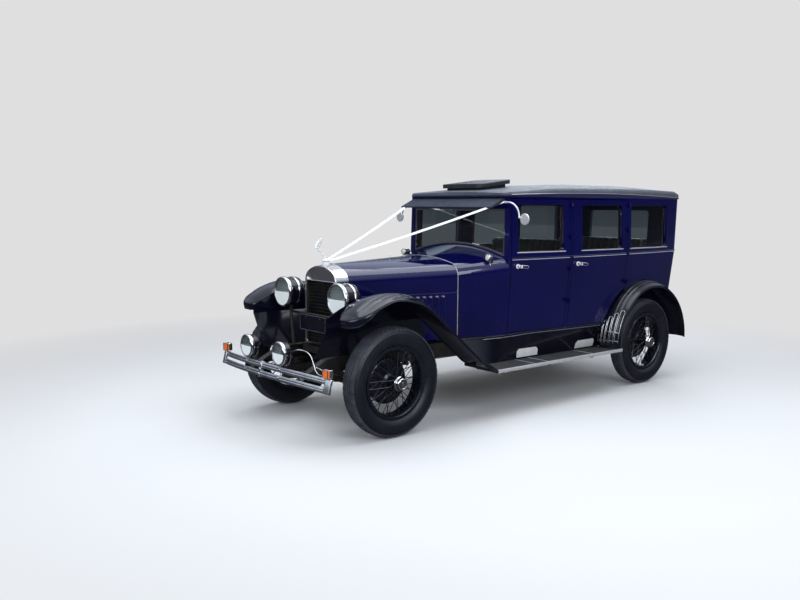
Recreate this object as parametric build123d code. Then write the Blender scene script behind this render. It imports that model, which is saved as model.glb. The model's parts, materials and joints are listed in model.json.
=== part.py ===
"""A 1920s four-door closed saloon with wire wheels, as separate pieces.

Stations are measured from the front axle: X forward, Y to the car's left, Z up from the ground.
Each piece is moved once at the end, so that the origin lies on the ground under the middle of the car.
All sizes are in millimetres.
"""
import os
from math import atan2, cos, degrees, hypot, pi, radians, sin, sqrt, tan

from build123d import *

# Clearances and sheet thicknesses
seat_gap = 0.3
running_clearance = 0.05
running_gap = 1.0
sheet = 5

# Wheels and axles
wheelbase = 3235
track = 1430
tyre_radius = 425
tyre_section = 160
tyre_wall = 16
rim_flange_radius = 283
spindle_radius = 20
spindle_reach = 112
hub_radius = 34
hub_cap_radius = 44
hub_cap_reach = 139
spoke_size = 5
# rows of spokes: how many each way, hub radius and y, rim y, lead at the hub and at the rim in degrees
spoke_rows = (
    (10, hub_radius - 2, 76, 22, 50, 6),
    (15, hub_radius + 18, -34, -16, 60, 10),
)
drum_radius = 178
drum_lip = -80
brake_plate_y = 624
kingpin_y = 610
kingpin_radius = 14
kingpin_boss = 38
steering_arm = 160
tie_pin_radius = 10
free_pin_radius = 8
axle_beam_height = 60
axle_beam_top = 376
rear_tube_radius = 42
banjo_radius = 145

# Springs
spring_width = 50
leaf_thickness = 7
leaf_count = 7
leaf_step = 0.125
eye_radius = 18
front_spring_y = 342
front_spring_half = 485
rear_spring_y = 502
rear_spring_half = 540
rear_spring_seat = 470
rear_eye_z = 560

# Chassis frame
rail_top = 600
rail_depth = 120
rail_width = 65
rail_wall = 6
rail_front_y = 375
rail_rear_y = 450
rail_splay_start = -900
rail_splay_end = -1400
rail_front = 520
rail_rear = -3795
horn_start = 250
horn_nose = 20
rail_inner_front = rail_front_y - rail_width
cross_low = 545
cross_high = 590
# holes for a rack's feet, in the lower flange of each rail
rack_hole_x = -3510
rack_hole_pitch = 100
rack_hole_radius = 7
board_arm_stations = (-1100, -1700, -2300)

# Bumper
bumper_front = 724
bumper_bow = 114
bumper_half_width = 785
bumper_bar_height = 44
bumper_bar_depth = 10
bumper_top = 528
bumper_bottom = 419
bumper_tilt = 14
bumper_cap = (20, 62)
iron_low = 468
iron_height = 48
iron_thickness = 12
lamp_bar_x = 655
lamp_bar_radius = 13
lamp_stem_radius = 10

# Radiator and bonnet
shell_front = 160
shell_depth = 112
shell_half_width = 220
shell_top = 1275
shell_shoulder = 1136
shell_corner = 110
shell_foot = 611
shell_wall = 12
shell_growth = 12
grille_top = 1150
grille_half_width = 202
slat_pitch = 28
cap_set_back = 52
bonnet_gap = 5
bonnet_sheet = 8
bonnet_front = shell_front - shell_depth - bonnet_gap
bonnet_rear = -920
bonnet_rear_half_width = 465
bonnet_rear_top = 1322
bonnet_shoulder = 1161
bonnet_corner = 120
bonnet_foot = 640
bonnet_split = 1046
hinge_rod_radius = 5
hinge_clearance = 0.8
louvre_count = 12
louvre_pitch = 58
louvre_first = -146
louvre_low = 740
louvre_height = 265

# Cowl, windscreen and steering
screen_x = -1346
screen_half_width = 592
screen_top = 1734
screen_foot_side = 1330
screen_foot_middle = 1420
cowl_rear_half_width = 642
cowl_top = 1411
cowl_shoulder = 1207
cowl_corner = 120
cowl_wall = 25
screen_frame_width = 16
leg_room_top = 1170
front_post = 28
steering_y = -284
steering_wheel_centre = (-1745, steering_y, 1183)
steering_wheel_radius = 220
steering_hub_height = 30
steering_column_radius = 22

gauges = ((-150, 55), (0, 40), (150, 55))

# Body
sill_z = 640
floor_low = rail_top + seat_gap
floor_inset = 30
belt_z = 1305
roof_edge_z = 1842
body_wall = 45
middle_x = -2450
rear_corner = 80
tail_cut = -3665
# rear face of the body at the sill, belt and roof edge
body_rears = (-3762, -3818, -3850)
# half width at the sill, belt and roof edge, at three stations
half_widths = {
    "front": (602, 650, 632),
    "middle": (690, 744, 726),
    "tail": (680, 728, 722),
}
door_bottom = 662
door_top = 1822
door_gap = 6
hinge_stand_off = 16
hinge_knuckle_radius = 6
hinge_knuckle_height = 20
hinge_end_height = 8
hinge_leaf = 15
hinge_leaf_let_in = 8
handle_set_back = 70
handle_z = 1240
handle_radius = 11
window_bottom = 1362
window_top = 1775
window_corner = 30
glass_thickness = 6
# doors, with the stations of the hinge line, the free edge and the window, and the heights of the hinges
doors = (
    {"name": "front", "hinge": -2080, "free": screen_x - front_post - 6, "window": (-1452, -2008),
     "hinge_heights": (907, 1197, 1487, 1777)},
    {"name": "rear", "hinge": -2908, "free": -2118, "window": (-2242, -2828), "hinge_heights": (1040, 1311, 1542, 1777)},
)
quarter_window = (-2966, -3596)
rear_window_size = (760, 330)
rear_window_z = 1560
visor_half_width = 590
mirror_head = (-1350, 818, 1650)
mirror_radius = 48
mirror_arm_x = -1336
mirror_arm_radius = 7
# seats: front and rear edge, height of the floor, half width
front_seat = (-1900, -2430, sill_z, 560)
rear_seat = (-2950, -3500, sill_z, 560)

# Roof, as x, half width, crown, shoulder and corner radius at each station
roof_wall = 36
roof_sections = (
    (-1316, 600, 1884, 1858, 12),
    (-1362, 646, 1898, 1862, 20),
    (-1900, 712, 1950, 1884, 36),
    (-2600, 742, 1978, 1890, 42),
    (-3300, 740, 1980, 1890, 42),
    (-3740, 734, 1958, 1885, 36),
    (-3836, 706, 1930, 1876, 24),
    (-3884, 626, 1900, 1864, 12),
)

# hatch in the roof: front and rear station, half width, top and underside at the front and at the rear
hatch_ends = (-1372, -1798)
hatch_half_width = 250
hatch_tops = (1957, 2008)
hatch_lows = (1920, 1970)
hatch_corner = 45
hatch_plinth_inset = 42

# Fenders and running boards
fender_lip_y = 868
fender_inner_y = 540
fender_inner_rise = 20
valance_knee = 860
valance_foot_y = 366
valance_rear = -590
fender_crown = 46
fender_top = (-12, 1052)
fender_front_radius = 900
fender_front_turn = 42
fender_rear_radius = 450
fender_slope = 40
fender_foot_radius = 200
fender_tip_x = 590
fender_tip_round = 120
board_top = 406
board_thickness = 22
board_inner_y = 600
board_rear = -2735
step_stations = (-1650, -2452)
step_half_length = 135
step_heights = (424, 500)
step_corner = 26
apron_inset = 8
apron_rear = -2600
rear_fender_radius = 566
rear_fender_inner_y = 612
rear_fender_rise = 20
rear_fender_crown = 44
door_over_fender = 24

# Lamps
headlamp = (286, 390, 1040)
headlamp_radius = 126
headlamp_depth = 190
headlamp_rim = 40
headlamp_post_x = 195
headlamp_post_radius = 14
tie_bar_z = 872
plate_size = (372, 134)
plate_place = (236, 812)
plate_thickness = 4
driving_lamp = (714, 238, 649)
driving_lamp_radius = 92
driving_lamp_depth = 100
driving_lamp_rim = 30
lens_thickness = 8
# indicator: depth, width and height, and how far in from the bumper's end its middle lies
indicator_size = (46, 64, 58)
indicator_set_in = 47
# leads of the left indicator as points of their routes, from the lamp's barrel and from the bumper's iron
lead_radius = 4
lead_ferrule = ((620, 392, 691.2), (620, 436, 693.5), 6)
lead_routes = (
    ((636, 300, 660), (626, 345, 682), (620, 392, 691.2), (620, 436, 693.5), (620, 494, 690), (620, 548, 666),
     (620, 582, 616), (620, 604, 568), (620, 640, 545), (620, 712, 542)),
    ((566, 352, 496), (584, 400, 506), (602, 455, 528), (610, 510, 556), (610, 560, 580), (610, 610, 590),
     (610, 660, 582), (610, 712, 566)),
)

rear_axle_x = -wheelbase
half_track = track / 2
bumper_end_x = bumper_front - bumper_bow
bumper_middle_z = (bumper_top + bumper_bottom) / 2
rack_hole_y = rail_rear_y - rail_width / 2
# cross members of the frame: station, half width, low and high
cross_members = (
    (100, rail_inner_front + 4, 540, shell_foot - seat_gap),
    (-1450, rail_rear_y - rail_wall / 2, cross_low, cross_high),
    (-2150, rail_rear_y - rail_wall / 2, cross_low, cross_high),
    (-2860, rail_rear_y - rail_wall / 2, cross_low, cross_high),
    (-3405, rail_rear_y - rail_wall / 2, cross_low, cross_high),
)


def at(*place):
    return Pos(*place)


def box(x, y, z):
    """A box between two corners, each given as a pair (low, high)."""
    size = [abs(high - low) for low, high in (x, y, z)]
    middle = [(high + low) / 2 for low, high in (x, y, z)]
    return Pos(*middle) * Box(*size)


def prism(points, y):
    """A side outline of (x, z) points, pulled across the car between two values of y."""
    face = make_face(Polyline(*[(x, y[0], z) for x, z in points], close=True))
    return extrude(face, y[1] - y[0], dir=(0, 1, 0))


def other_side(shape):
    return mirror(shape, Plane.XZ)


def both_sides(shape):
    """The piece and its mirror image on the other side of the car."""
    return Compound(children=[*shape.solids(), *other_side(shape).solids()])


def group(*shapes):
    return Compound(children=[solid for shape in shapes for solid in shape.solids()])


def rod(start, end, radius):
    line = Vector(*end) - Vector(*start)
    return Plane(origin=start, z_dir=line) * (Pos(0, 0, line.length / 2) * Cylinder(radius, line.length))


def turned(points, centre_place=(0, 0, 0)):
    """A solid turned about an axis along Y from a closed outline of (radius, y) points."""
    face = make_face(Polyline(*[(r, y, 0) for r, y in points], close=True))
    return Pos(*centre_place) * revolve(face, Axis.Y)


def turned_x(points, centre_place=(0, 0, 0)):
    """A solid turned about an axis along X from a closed outline of (radius, x) points."""
    face = make_face(Polyline(*[(x, r, 0) for r, x in points], close=True))
    return Pos(*centre_place) * revolve(face, Axis.X)


def arch_points(half_width, top, shoulder, corner, foot, foot_half_width, inset):
    """The left half of an arch as (y, z): crown, a point of its arc, the join, the knee, shoulder and foot."""
    w, t, r = half_width - inset, top - inset, max(corner - inset, 2)
    reach, rise = w - r, t - shoulder
    big = (reach ** 2 + rise ** 2 - r ** 2) / (2 * (rise - r))
    turn = atan2(reach, shoulder - (t - big))
    join = (big * sin(turn), t - big + big * cos(turn))
    middle = (big * sin(turn / 2), t - big + big * cos(turn / 2))
    bend = (turn + pi / 2) / 2
    knee = (reach + r * sin(bend), shoulder + r * cos(bend))
    return (0, t), middle, join, knee, (w, shoulder), (foot_half_width - inset, foot)


def half_arch_edges(x, points, sign):
    place = [(x, sign * y, z) for y, z in points]
    return [
        ThreePointArc(place[0], place[1], place[2]),
        ThreePointArc(place[2], place[3], place[4]),
        Line(place[4], place[5]),
    ]


def arch(x, half_width, top, shoulder, corner, foot, foot_half_width=None, inset=0):
    """An arch-topped face across the car at one station, drawn in by inset all round but at its foot.

    The top is an arc that is level at the middle, and the corner an arc that ends upright at the shoulder.
    """
    foot_half_width = half_width if foot_half_width is None else foot_half_width
    points = arch_points(half_width, top, shoulder, corner, foot, foot_half_width, inset)
    edges = half_arch_edges(x, points, 1) + half_arch_edges(x, points, -1)
    edges.append(Line((x, points[5][0], foot), (x, -points[5][0], foot)))
    return make_face(Wire(edges))


def arch_band(x, half_width, top, shoulder, corner, foot, thickness):
    """The left half of an arch as a thin band, for a sheet metal half."""
    outer = arch_points(half_width, top, shoulder, corner, foot, half_width, 0)
    inner = arch_points(half_width, top, shoulder, corner, foot, half_width, thickness)
    edges = half_arch_edges(x, outer, 1) + half_arch_edges(x, inner, 1)
    edges.append(Line((x, outer[5][0], foot), (x, inner[5][0], foot)))
    edges.append(Line((x, 0, outer[0][1]), (x, 0, inner[0][1])))
    return make_face(Wire(edges))


# Wheels

def make_tyre():
    half = tyre_section / 2
    bead, crown = rim_flange_radius - 18, tyre_radius
    wall = tyre_wall
    outline = [
        (bead, -56), (rim_flange_radius + 3, -57), (bead + 34, -half + 6), (crown - 72, -half), (crown - 30, -half + 8),
        (crown - 8, -half + 26), (crown, -34), (crown, 34), (crown - 8, half - 26),
        (crown - 30, half - 8), (crown - 72, half), (bead + 34, half - 6), (rim_flange_radius + 3, 57), (bead, 56),
        (bead, 56 - wall), (bead + 38, half - wall - 6), (crown - 72, half - wall),
        (crown - 34, half - 34), (crown - 24, 0), (crown - 34, -half + 34),
        (crown - 72, -half + wall), (bead + 38, -half + wall + 6), (bead, -56 + wall),
    ]
    return turned(outline)


def make_rim():
    flange, well = rim_flange_radius, rim_flange_radius - 20
    return turned([
        (flange, -64), (flange, -57.5), (well + 2 - 0.5, -57), (well + 2 - 0.5, -56), (well - 4, -30), (well - 4, 30),
        (well + 1.5, 56), (well + 1.5, 57), (flange, 57.5), (flange, 64), (well - 4, 62), (well - 12, 32),
        (well - 12, -32), (well - 4, -62),
    ])


def spoke(hub_point, rim_point):
    """One straight spoke, let into the hub at one end and into the rim at the other."""
    start, end = Vector(*hub_point), Vector(*rim_point)
    length = (end - start).length
    return Plane(origin=start, z_dir=end - start) * (Pos(0, 0, length / 2) * Box(spoke_size, spoke_size, length))


def make_wheel():
    """Rim, hub, cap and laced wire spokes, turning about Y, with its middle plane at y = 0."""
    cap_end = hub_cap_reach
    bore = spindle_radius + running_clearance
    hub = turned([
        (bore, -40), (hub_radius + 26, -40), (hub_radius + 26, -28), (hub_radius + 6, -18), (hub_radius, 20),
        (hub_radius - 2, 70), (hub_radius + 6, 82), (hub_radius + 6, 94), (hub_cap_radius, 97),
        (hub_cap_radius, cap_end - 16), (hub_cap_radius - 6, cap_end - 6), (30, cap_end), (0, cap_end),
        (0, spindle_reach + 4), (bore, spindle_reach + 4),
    ])
    # rows: how many spokes, hub radius and y, rim y, lead at the hub and at the rim in degrees
    bars = []
    for count, hub_r, hub_y, rim_y, hub_lead, rim_lead in spoke_rows:
        for index in range(count):
            angle = 360 * index / count
            for way in (1, -1):
                low, high = radians(angle + way * hub_lead), radians(angle + way * rim_lead)
                rim_r = rim_flange_radius - 28
                bars.append(spoke(
                    (hub_r * cos(low), hub_y, hub_r * sin(low)),
                    (rim_r * cos(high), rim_y, rim_r * sin(high)),
                ))
    return (make_rim() + hub).fuse(*bars)


def make_drum():
    """A brake drum bolted to the back of a wheel's hub, turning with it."""
    return turned([
        (hub_radius + 8, -40 - seat_gap), (drum_radius - 10, -40 - seat_gap), (drum_radius, -50), (drum_radius, drum_lip),
        (drum_radius - 10, drum_lip), (drum_radius - 10, -56), (hub_radius + 8, -52),
    ])


# Axles, springs and steering

def make_front_axle():
    low, high = axle_beam_top - axle_beam_height, axle_beam_top
    beam = box((-8, 8), (-500, 500), (low + 10, high - 10))
    beam += box((-25, 25), (-500, 500), (low, low + 12)) + box((-25, 25), (-500, 500), (high - 12, high))
    rise = make_face(Polyline(
        (-20, 470, low), (-20, 505, low), (-20, 560, 389), (-20, kingpin_y - 6, 389), (-20, kingpin_y - 6, 462),
        (-20, 492, high), (-20, 470, high), close=True))
    side = extrude(rise, 40, dir=(1, 0, 0))
    side += at(0, kingpin_y, tyre_radius) * Cylinder(30, 2 * kingpin_boss)
    side += at(0, kingpin_y, tyre_radius) * Cylinder(kingpin_radius, 2 * kingpin_boss + 70)
    side += box((-60, 60), (front_spring_y - 28, front_spring_y + 28), (high - 12, high))
    return beam + side + other_side(side)


def make_knuckle():
    """The left knuckle: two ears round the kingpin, a web, the spindle and the steering arm."""
    ear_low, ear_high = kingpin_boss + 2, kingpin_boss + 32
    knuckle = box((-32, 32), (kingpin_y + 32, kingpin_y + 44), (tyre_radius - ear_high, tyre_radius + ear_high))
    for low, high in ((-ear_high, -ear_low), (ear_low, ear_high)):
        ear = box((-28, 28), (kingpin_y, kingpin_y + 40), (tyre_radius + low, tyre_radius + high))
        knuckle += ear + at(0, kingpin_y, tyre_radius + (low + high) / 2) * Cylinder(28, high - low)
    arm_z = tyre_radius - ear_high + 12
    arm = box((-steering_arm, 0), (kingpin_y - 15, kingpin_y + 12), (arm_z - 12, arm_z + 12))
    knuckle += arm + at(-steering_arm, kingpin_y, arm_z) * Cylinder(20, 24)
    knuckle -= at(0, kingpin_y, tyre_radius) * Cylinder(kingpin_radius + running_clearance, 400)
    knuckle -= at(-steering_arm, kingpin_y, arm_z) * Cylinder(tie_pin_radius + running_clearance, 60)
    knuckle += turned([
        (0, kingpin_y + 40), (34, kingpin_y + 40), (27, half_track - 46), (spindle_radius, half_track - 44),
        (spindle_radius, half_track + spindle_reach), (0, half_track + spindle_reach),
    ], (0, 0, tyre_radius))
    return knuckle


def make_tie_rod():
    """The bar behind the axle, with an upright pin at each end that the steering arms turn on."""
    arm_z = tyre_radius - (kingpin_boss + 32) + 12
    bar_z = arm_z - 12 - running_gap - 13
    bar = at(-steering_arm, 0, bar_z) * Rot(90, 0, 0) * Cylinder(12, 2 * kingpin_y)
    for sign in (1, -1):
        bar += at(-steering_arm, sign * kingpin_y, bar_z) * Cylinder(18, 26)
        bar += at(-steering_arm, sign * kingpin_y, bar_z + 28) * Cylinder(tie_pin_radius if sign > 0 else free_pin_radius, 46)
    return bar


def make_rear_axle():
    banjo = at(rear_axle_x, 0, tyre_radius) * Rot(0, 90, 0) * Cylinder(banjo_radius, 130)
    banjo = fillet(banjo.edges().filter_by(GeomType.CIRCLE), 40)
    casing = banjo + at(rear_axle_x + 90, 0, tyre_radius) * Rot(0, 90, 0) * Cylinder(60, 110)
    side = turned([
        (0, 0), (rear_tube_radius + 24, 80), (rear_tube_radius, 260), (rear_tube_radius, brake_plate_y),
        (drum_radius - 14, brake_plate_y), (drum_radius - 14, brake_plate_y + 6), (spindle_radius + 14, brake_plate_y + 6),
        (spindle_radius + 14, half_track - 44), (spindle_radius, half_track - 43),
        (spindle_radius, half_track + spindle_reach), (0, half_track + spindle_reach),
    ], (rear_axle_x, 0, tyre_radius))
    side += box((rear_axle_x - 55, rear_axle_x + 55), (rear_spring_y - 28, rear_spring_y + 28),
                (tyre_radius + 20, rear_spring_seat - 0.0))
    return casing + side + other_side(side)


def leaf_spring(middle, half_length, y, foot, eye_z, eye_span):
    """A stack of leaves along X on a seat at height foot, its ends curled into eyes at height eye_z."""
    stack = leaf_count * leaf_thickness
    camber = eye_z - (foot + stack - leaf_thickness / 2)
    radius = (half_length ** 2 + camber ** 2) / (2 * camber)
    centre_z = foot + stack - leaf_thickness / 2 + radius

    def point(angle, r, sign):
        return middle + sign * r * sin(angle), y - spring_width / 2, centre_z - r * cos(angle)

    edges = []
    steps = [(half_length * (1 - leaf_step * index) / radius, radius + leaf_thickness * (index - 0.5))
             for index in range(leaf_count)]
    for sign in (-1, 1):
        for index, (angle, high) in enumerate(steps):
            low = high + leaf_thickness
            edges.append(Line(point(angle, high, sign), point(angle, low, sign)))
            if index + 1 < leaf_count:
                next_angle = steps[index + 1][0]
                edges.append(ThreePointArc(
                    point(angle, low, sign), point((angle + next_angle) / 2, low, sign), point(next_angle, low, sign)))
    last_angle, last_low = steps[-1][0], steps[-1][1] + leaf_thickness
    top_angle, top_high = steps[0]
    edges.append(ThreePointArc(point(last_angle, last_low, -1), point(0, last_low, 1), point(last_angle, last_low, 1)))
    edges.append(ThreePointArc(point(top_angle, top_high, -1), point(0, top_high, 1), point(top_angle, top_high, 1)))
    spring = extrude(make_face(Wire(edges)), spring_width, dir=(0, 1, 0))
    for sign in (-1, 1):
        spring += at(middle + sign * half_length, sum(eye_span) / 2, eye_z) * Rot(90, 0, 0) * Cylinder(
            eye_radius, eye_span[1] - eye_span[0])
    return spring


def make_springs():
    front_eye_z = rail_top - rail_depth - seat_gap - eye_radius
    front = leaf_spring(rail_front - front_spring_half, front_spring_half, front_spring_y, axle_beam_top, front_eye_z,
                        (front_spring_y - spring_width / 2, rail_front_y - rail_wall - seat_gap))
    rear = leaf_spring(rear_axle_x, rear_spring_half, rear_spring_y, rear_spring_seat, rear_eye_z,
                       (rail_rear_y + seat_gap, rear_spring_y + spring_width / 2))
    return group(both_sides(front), both_sides(rear))


# Chassis frame and what hangs on it

def rail_plan(inset):
    """The rail's plan, as an upright prism, with its outer face drawn in by inset and its inner one open."""
    inner = rail_width if inset == 0 else rail_width + 50
    strip = Polyline(
        (rail_front + horn_nose, rail_front_y - inset), (rail_splay_start, rail_front_y - inset),
        (rail_splay_end, rail_rear_y - inset), (rail_rear, rail_rear_y - inset), (rail_rear, rail_rear_y - inner),
        (rail_splay_end, rail_rear_y - inner), (rail_splay_start, rail_front_y - inner),
        (rail_front + horn_nose, rail_front_y - inner), close=True,
    )
    return extrude(make_face(strip), 1000)


def rail_side(inset):
    """The rail from the side: level, with its front end curving down to the spring's eye."""
    low = rail_top - rail_depth
    return prism([
        (rail_rear + inset, low + inset), (horn_start - 40, low + inset), (rail_front - 60, low + inset),
        (rail_front + 22 - inset, low - 40 + inset), (rail_front + 22 - inset, low + 10), (horn_start + 120, rail_top - inset - 20),
        (horn_start, rail_top - inset), (rail_rear + inset, rail_top - inset),
    ], (0, 600))


def make_frame():
    rail = rail_plan(0) & rail_side(0)
    rail -= rail_plan(rail_wall) & rail_side(rail_wall)
    clear_eye = box((rail_front - 60, rail_front + 60), (0, rail_front_y - rail_wall), (0, rail_top - rail_depth - 0.0))
    rail -= clear_eye
    frame = rail + other_side(rail)
    for x, half_width, low, high in cross_members:
        frame += box((x - 30, x + 30), (-half_width, half_width), (low, high))
    arm_low = board_top - board_thickness - seat_gap - 12
    for x in board_arm_stations:
        inner = rail_front_y + 20 if x > -1200 else rail_rear_y - 6
        arm = box((x - 18, x + 18), (inner, inner + 20), (arm_low, rail_top - rail_depth + 6))
        arm += box((x - 18, x + 18), (inner, 840), (arm_low, arm_low + 12))
        frame += arm + other_side(arm)
    for x in (rack_hole_x - rack_hole_pitch / 2, rack_hole_x + rack_hole_pitch / 2):
        hole = at(x, rack_hole_y, rail_top - rail_depth) * Cylinder(rack_hole_radius, 4 * rail_wall)
        frame -= hole + other_side(hole)
    return frame


def make_engine():
    block = box((-880, -80), (-130, 130), (560, 1060))
    block += box((-860, -110), (-150, 150), (440, 562))
    block += box((-1330, -878), (-120, 120), (430, 594))
    block += box((-200, -150), (-rail_inner_front + seat_gap, rail_inner_front - seat_gap), (580, 600))
    block += box((-880, -830), (-rail_inner_front + seat_gap, rail_inner_front - seat_gap), (580, 600))
    block += at(-60, 0, 900) * Rot(0, 90, 0) * Cylinder(40, 50)
    fan = at(-30, 0, 900) * Rot(0, 90, 0) * Cylinder(16, 40)
    for angle in (0, 45, 90, 135):
        fan += at(-18, 0, 900) * Rot(angle, 0, 0) * Box(6, 60, 380)
    return block + fan


def make_driveline(engine, rear_axle):
    shaft = rod((-1300, 0, 505), (rear_axle_x + 120, 0, tyre_radius), 34)
    return (shaft - engine - rear_axle).solids().sort_by(SortBy.VOLUME)[-1]


def make_exhaust(engine):
    y = 232
    pipe = rod((-700, 90, 900), (-700, y, 860), 26) + at(-700, y, 860) * Sphere(26)
    pipe += rod((-700, y, 860), (-760, y, 455), 26) + at(-760, y, 455) * Sphere(26)
    pipe += rod((-760, y, 455), (-2880, y, 440), 24)
    muffler = at(-2150, y, 442) * Rot(0, 90, 0) * Cylinder(76, 620)
    muffler = fillet(muffler.edges().filter_by(GeomType.CIRCLE), 18)
    strap = box((-2165, -2135), (y - 12, y + 12), (500, cross_low - seat_gap))
    return pipe + muffler + strap - engine


def make_fuel_tank():
    inner = rail_rear_y - rail_width - seat_gap
    tank = box((-3720, -3450), (-inner, inner), (470, 598))
    return fillet(tank.edges().filter_by(Axis.Y), 40)


# Radiator and bonnet

def make_radiator_shell():
    rear_x = shell_front - shell_depth
    grow = shell_growth

    def hollow(inset, front_x, end_x, foot):
        return loft([
            arch(front_x, shell_half_width, shell_top, shell_shoulder, shell_corner, foot, inset=inset),
            arch(end_x, shell_half_width + grow, shell_top + grow, shell_shoulder + 4, shell_corner, foot, inset=inset),
        ], ruled=True)

    shell = hollow(0, shell_front, rear_x, shell_foot)
    shell -= hollow(shell_wall, shell_front - shell_wall, rear_x - 1, shell_foot + shell_wall)
    low = shell_foot + 2 * shell_wall
    window = RectangleRounded(2 * grille_half_width, grille_top - low, 22)
    place = Plane(origin=(shell_front + 20, 0, (low + grille_top) / 2), x_dir=(0, 1, 0), z_dir=(1, 0, 0))
    shell -= extrude(place * window, -60)
    neck = at(shell_front - cap_set_back, 0, shell_top + 14) * Cylinder(26, 40)
    return shell + neck


def make_radiator_core():
    return box((shell_front - 96, shell_front - 46), (-shell_half_width + 16, shell_half_width - 16),
               (shell_foot + shell_wall + seat_gap, grille_top - 8))


def make_shutters():
    """Tilted slats between upright posts, close behind the shell's opening."""
    low, high = shell_foot + shell_wall + seat_gap, grille_top - 2
    front = shell_front - shell_wall - seat_gap
    reach = shell_half_width - shell_wall - 2
    posts = box((front - 24, front), (reach - 14, reach), (low, high))
    posts += box((front - 24, front), (-reach, -reach + 14), (low, high))
    posts += box((front - 24, front - 18), (-7, 7), (low, high))
    count = int((high - low) / slat_pitch)
    slats = [at(front - 14, 0, low + slat_pitch * (index + 0.5)) * Rot(0, 35, 0) * Box(3, 2 * reach - 10, slat_pitch)
             for index in range(count)]
    return posts.fuse(*slats)


def make_radiator_cap():
    """The filler cap with a plain swept-wing figure on a leaning stem."""
    x, z = shell_front - cap_set_back, shell_top + 34 + seat_gap
    cap = at(x, 0, z + 8) * Cylinder(34, 16)
    stem = rod((x, 0, z + 8), (x + 78, 0, z + 112), 7)
    wing = prism([(x + 70, z + 98), (x + 112, z + 118), (x + 86, z + 146), (x + 30, z + 182), (x + 52, z + 138)], (-7, 7))
    return cap + stem + wing


def bonnet_line(share):
    """Half width, top, shoulder and corner of the bonnet at a share of the way from its front to its rear."""
    front = (shell_half_width + shell_growth, shell_top + shell_growth, shell_shoulder + 4, shell_corner)
    rear = (bonnet_rear_half_width, bonnet_rear_top, bonnet_shoulder, bonnet_corner)
    return [a + (b - a) * share for a, b in zip(front, rear)]


def make_bonnet_half():
    """The left half of the bonnet, from the radiator shell to the cowl."""
    faces = [arch_band(x, *bonnet_line(share), bonnet_foot, bonnet_sheet)
             for x, share in ((bonnet_front, 0), (bonnet_rear + bonnet_gap, 1))]
    return loft(faces, ruled=True)


def hinge_line():
    """The bonnet's centre hinge, as its front and rear ends."""
    front_x, rear_x = shell_front - shell_depth, bonnet_rear
    return ((front_x - seat_gap, 0, bonnet_line(0)[1] - bonnet_sheet / 2),
            (rear_x + seat_gap, 0, bonnet_line(1)[1] - bonnet_sheet / 2))


def make_bonnet_hinge():
    front, rear = hinge_line()
    return rod(front, rear, hinge_rod_radius)


def make_bonnet_top():
    """The left top panel, which lifts about the centre hinge."""
    above = box((bonnet_rear - 10, bonnet_front + 10), (0, 700), (bonnet_split, 1500))
    front, rear = hinge_line()
    return (make_bonnet_half() & above) - rod(front, rear, hinge_rod_radius + hinge_clearance)


def make_bonnet_side():
    """The left side panel under the top one, with its row of louvres open to the rear."""
    below = box((bonnet_rear - 10, bonnet_front + 10), (0, 700), (bonnet_foot - 10, bonnet_split - seat_gap))
    side = make_bonnet_half() & below
    first, last = bonnet_line(0)[0], bonnet_line(1)[0]
    slope = (last - first) / (bonnet_front - bonnet_rear)
    profile = make_face(Polyline((17, -4, 0), (-17, -4, 0), (-17, 9, 0), (-12, 9, 0), (17, 1, 0), close=True))
    louvres = []
    for index in range(louvre_count):
        x = louvre_first - louvre_pitch * index
        y = first + (bonnet_front - x) * slope
        louvres.append(at(x, y, louvre_low) * Rot(0, 0, -degrees(atan2(slope, 1))) * extrude(profile, louvre_height))
    return side.fuse(*louvres)


# Cowl and windscreen

def cowl_shell(inset, front_x, rear_x, foot):
    w, top, shoulder, corner = bonnet_line(1)
    return loft([
        arch(front_x, w, top, shoulder, corner, foot, inset=inset),
        arch(rear_x, cowl_rear_half_width, cowl_top, cowl_shoulder, cowl_corner, foot,
             foot_half_width=half_widths["front"][0], inset=inset),
    ], ruled=True)


def make_cowl():
    rear_x = screen_x + seat_gap
    cowl = cowl_shell(0, bonnet_rear, rear_x, sill_z)
    cowl -= cowl_shell(cowl_wall, bonnet_rear - cowl_wall, rear_x - 1, sill_z - 1)
    cowl -= rod((-450, steering_y, 560), steering_wheel_centre, 34)
    for sign in (1, -1):
        lamp = at(-1215, sign * 560, 1322) * Rot(0, 90, 0) * Cylinder(26, 70)
        lamp = fillet(lamp.edges().filter_by(GeomType.CIRCLE), 12)
        cowl += lamp + rod((-1215, sign * 560, 1322), (-1215, sign * 540, 1240), 10)
    return cowl


def screen_opening(inset):
    """The windscreen's opening as a face at x = 0: straight sides and top, and a foot that follows the cowl."""
    w, top = screen_half_width - inset, screen_top - inset
    foot, middle = screen_foot_side + inset, screen_foot_middle + inset
    edges = [
        ThreePointArc((0, -w, foot), (0, 0, middle), (0, w, foot)),
        Line((0, w, foot), (0, w, top)), Line((0, w, top), (0, -w, top)), Line((0, -w, top), (0, -w, foot)),
    ]
    return make_face(Wire(edges))


def screen_prism(inset, x0, x1):
    return at(x0, 0, 0) * extrude(screen_opening(inset), x1 - x0, dir=(1, 0, 0))


# Body

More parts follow.
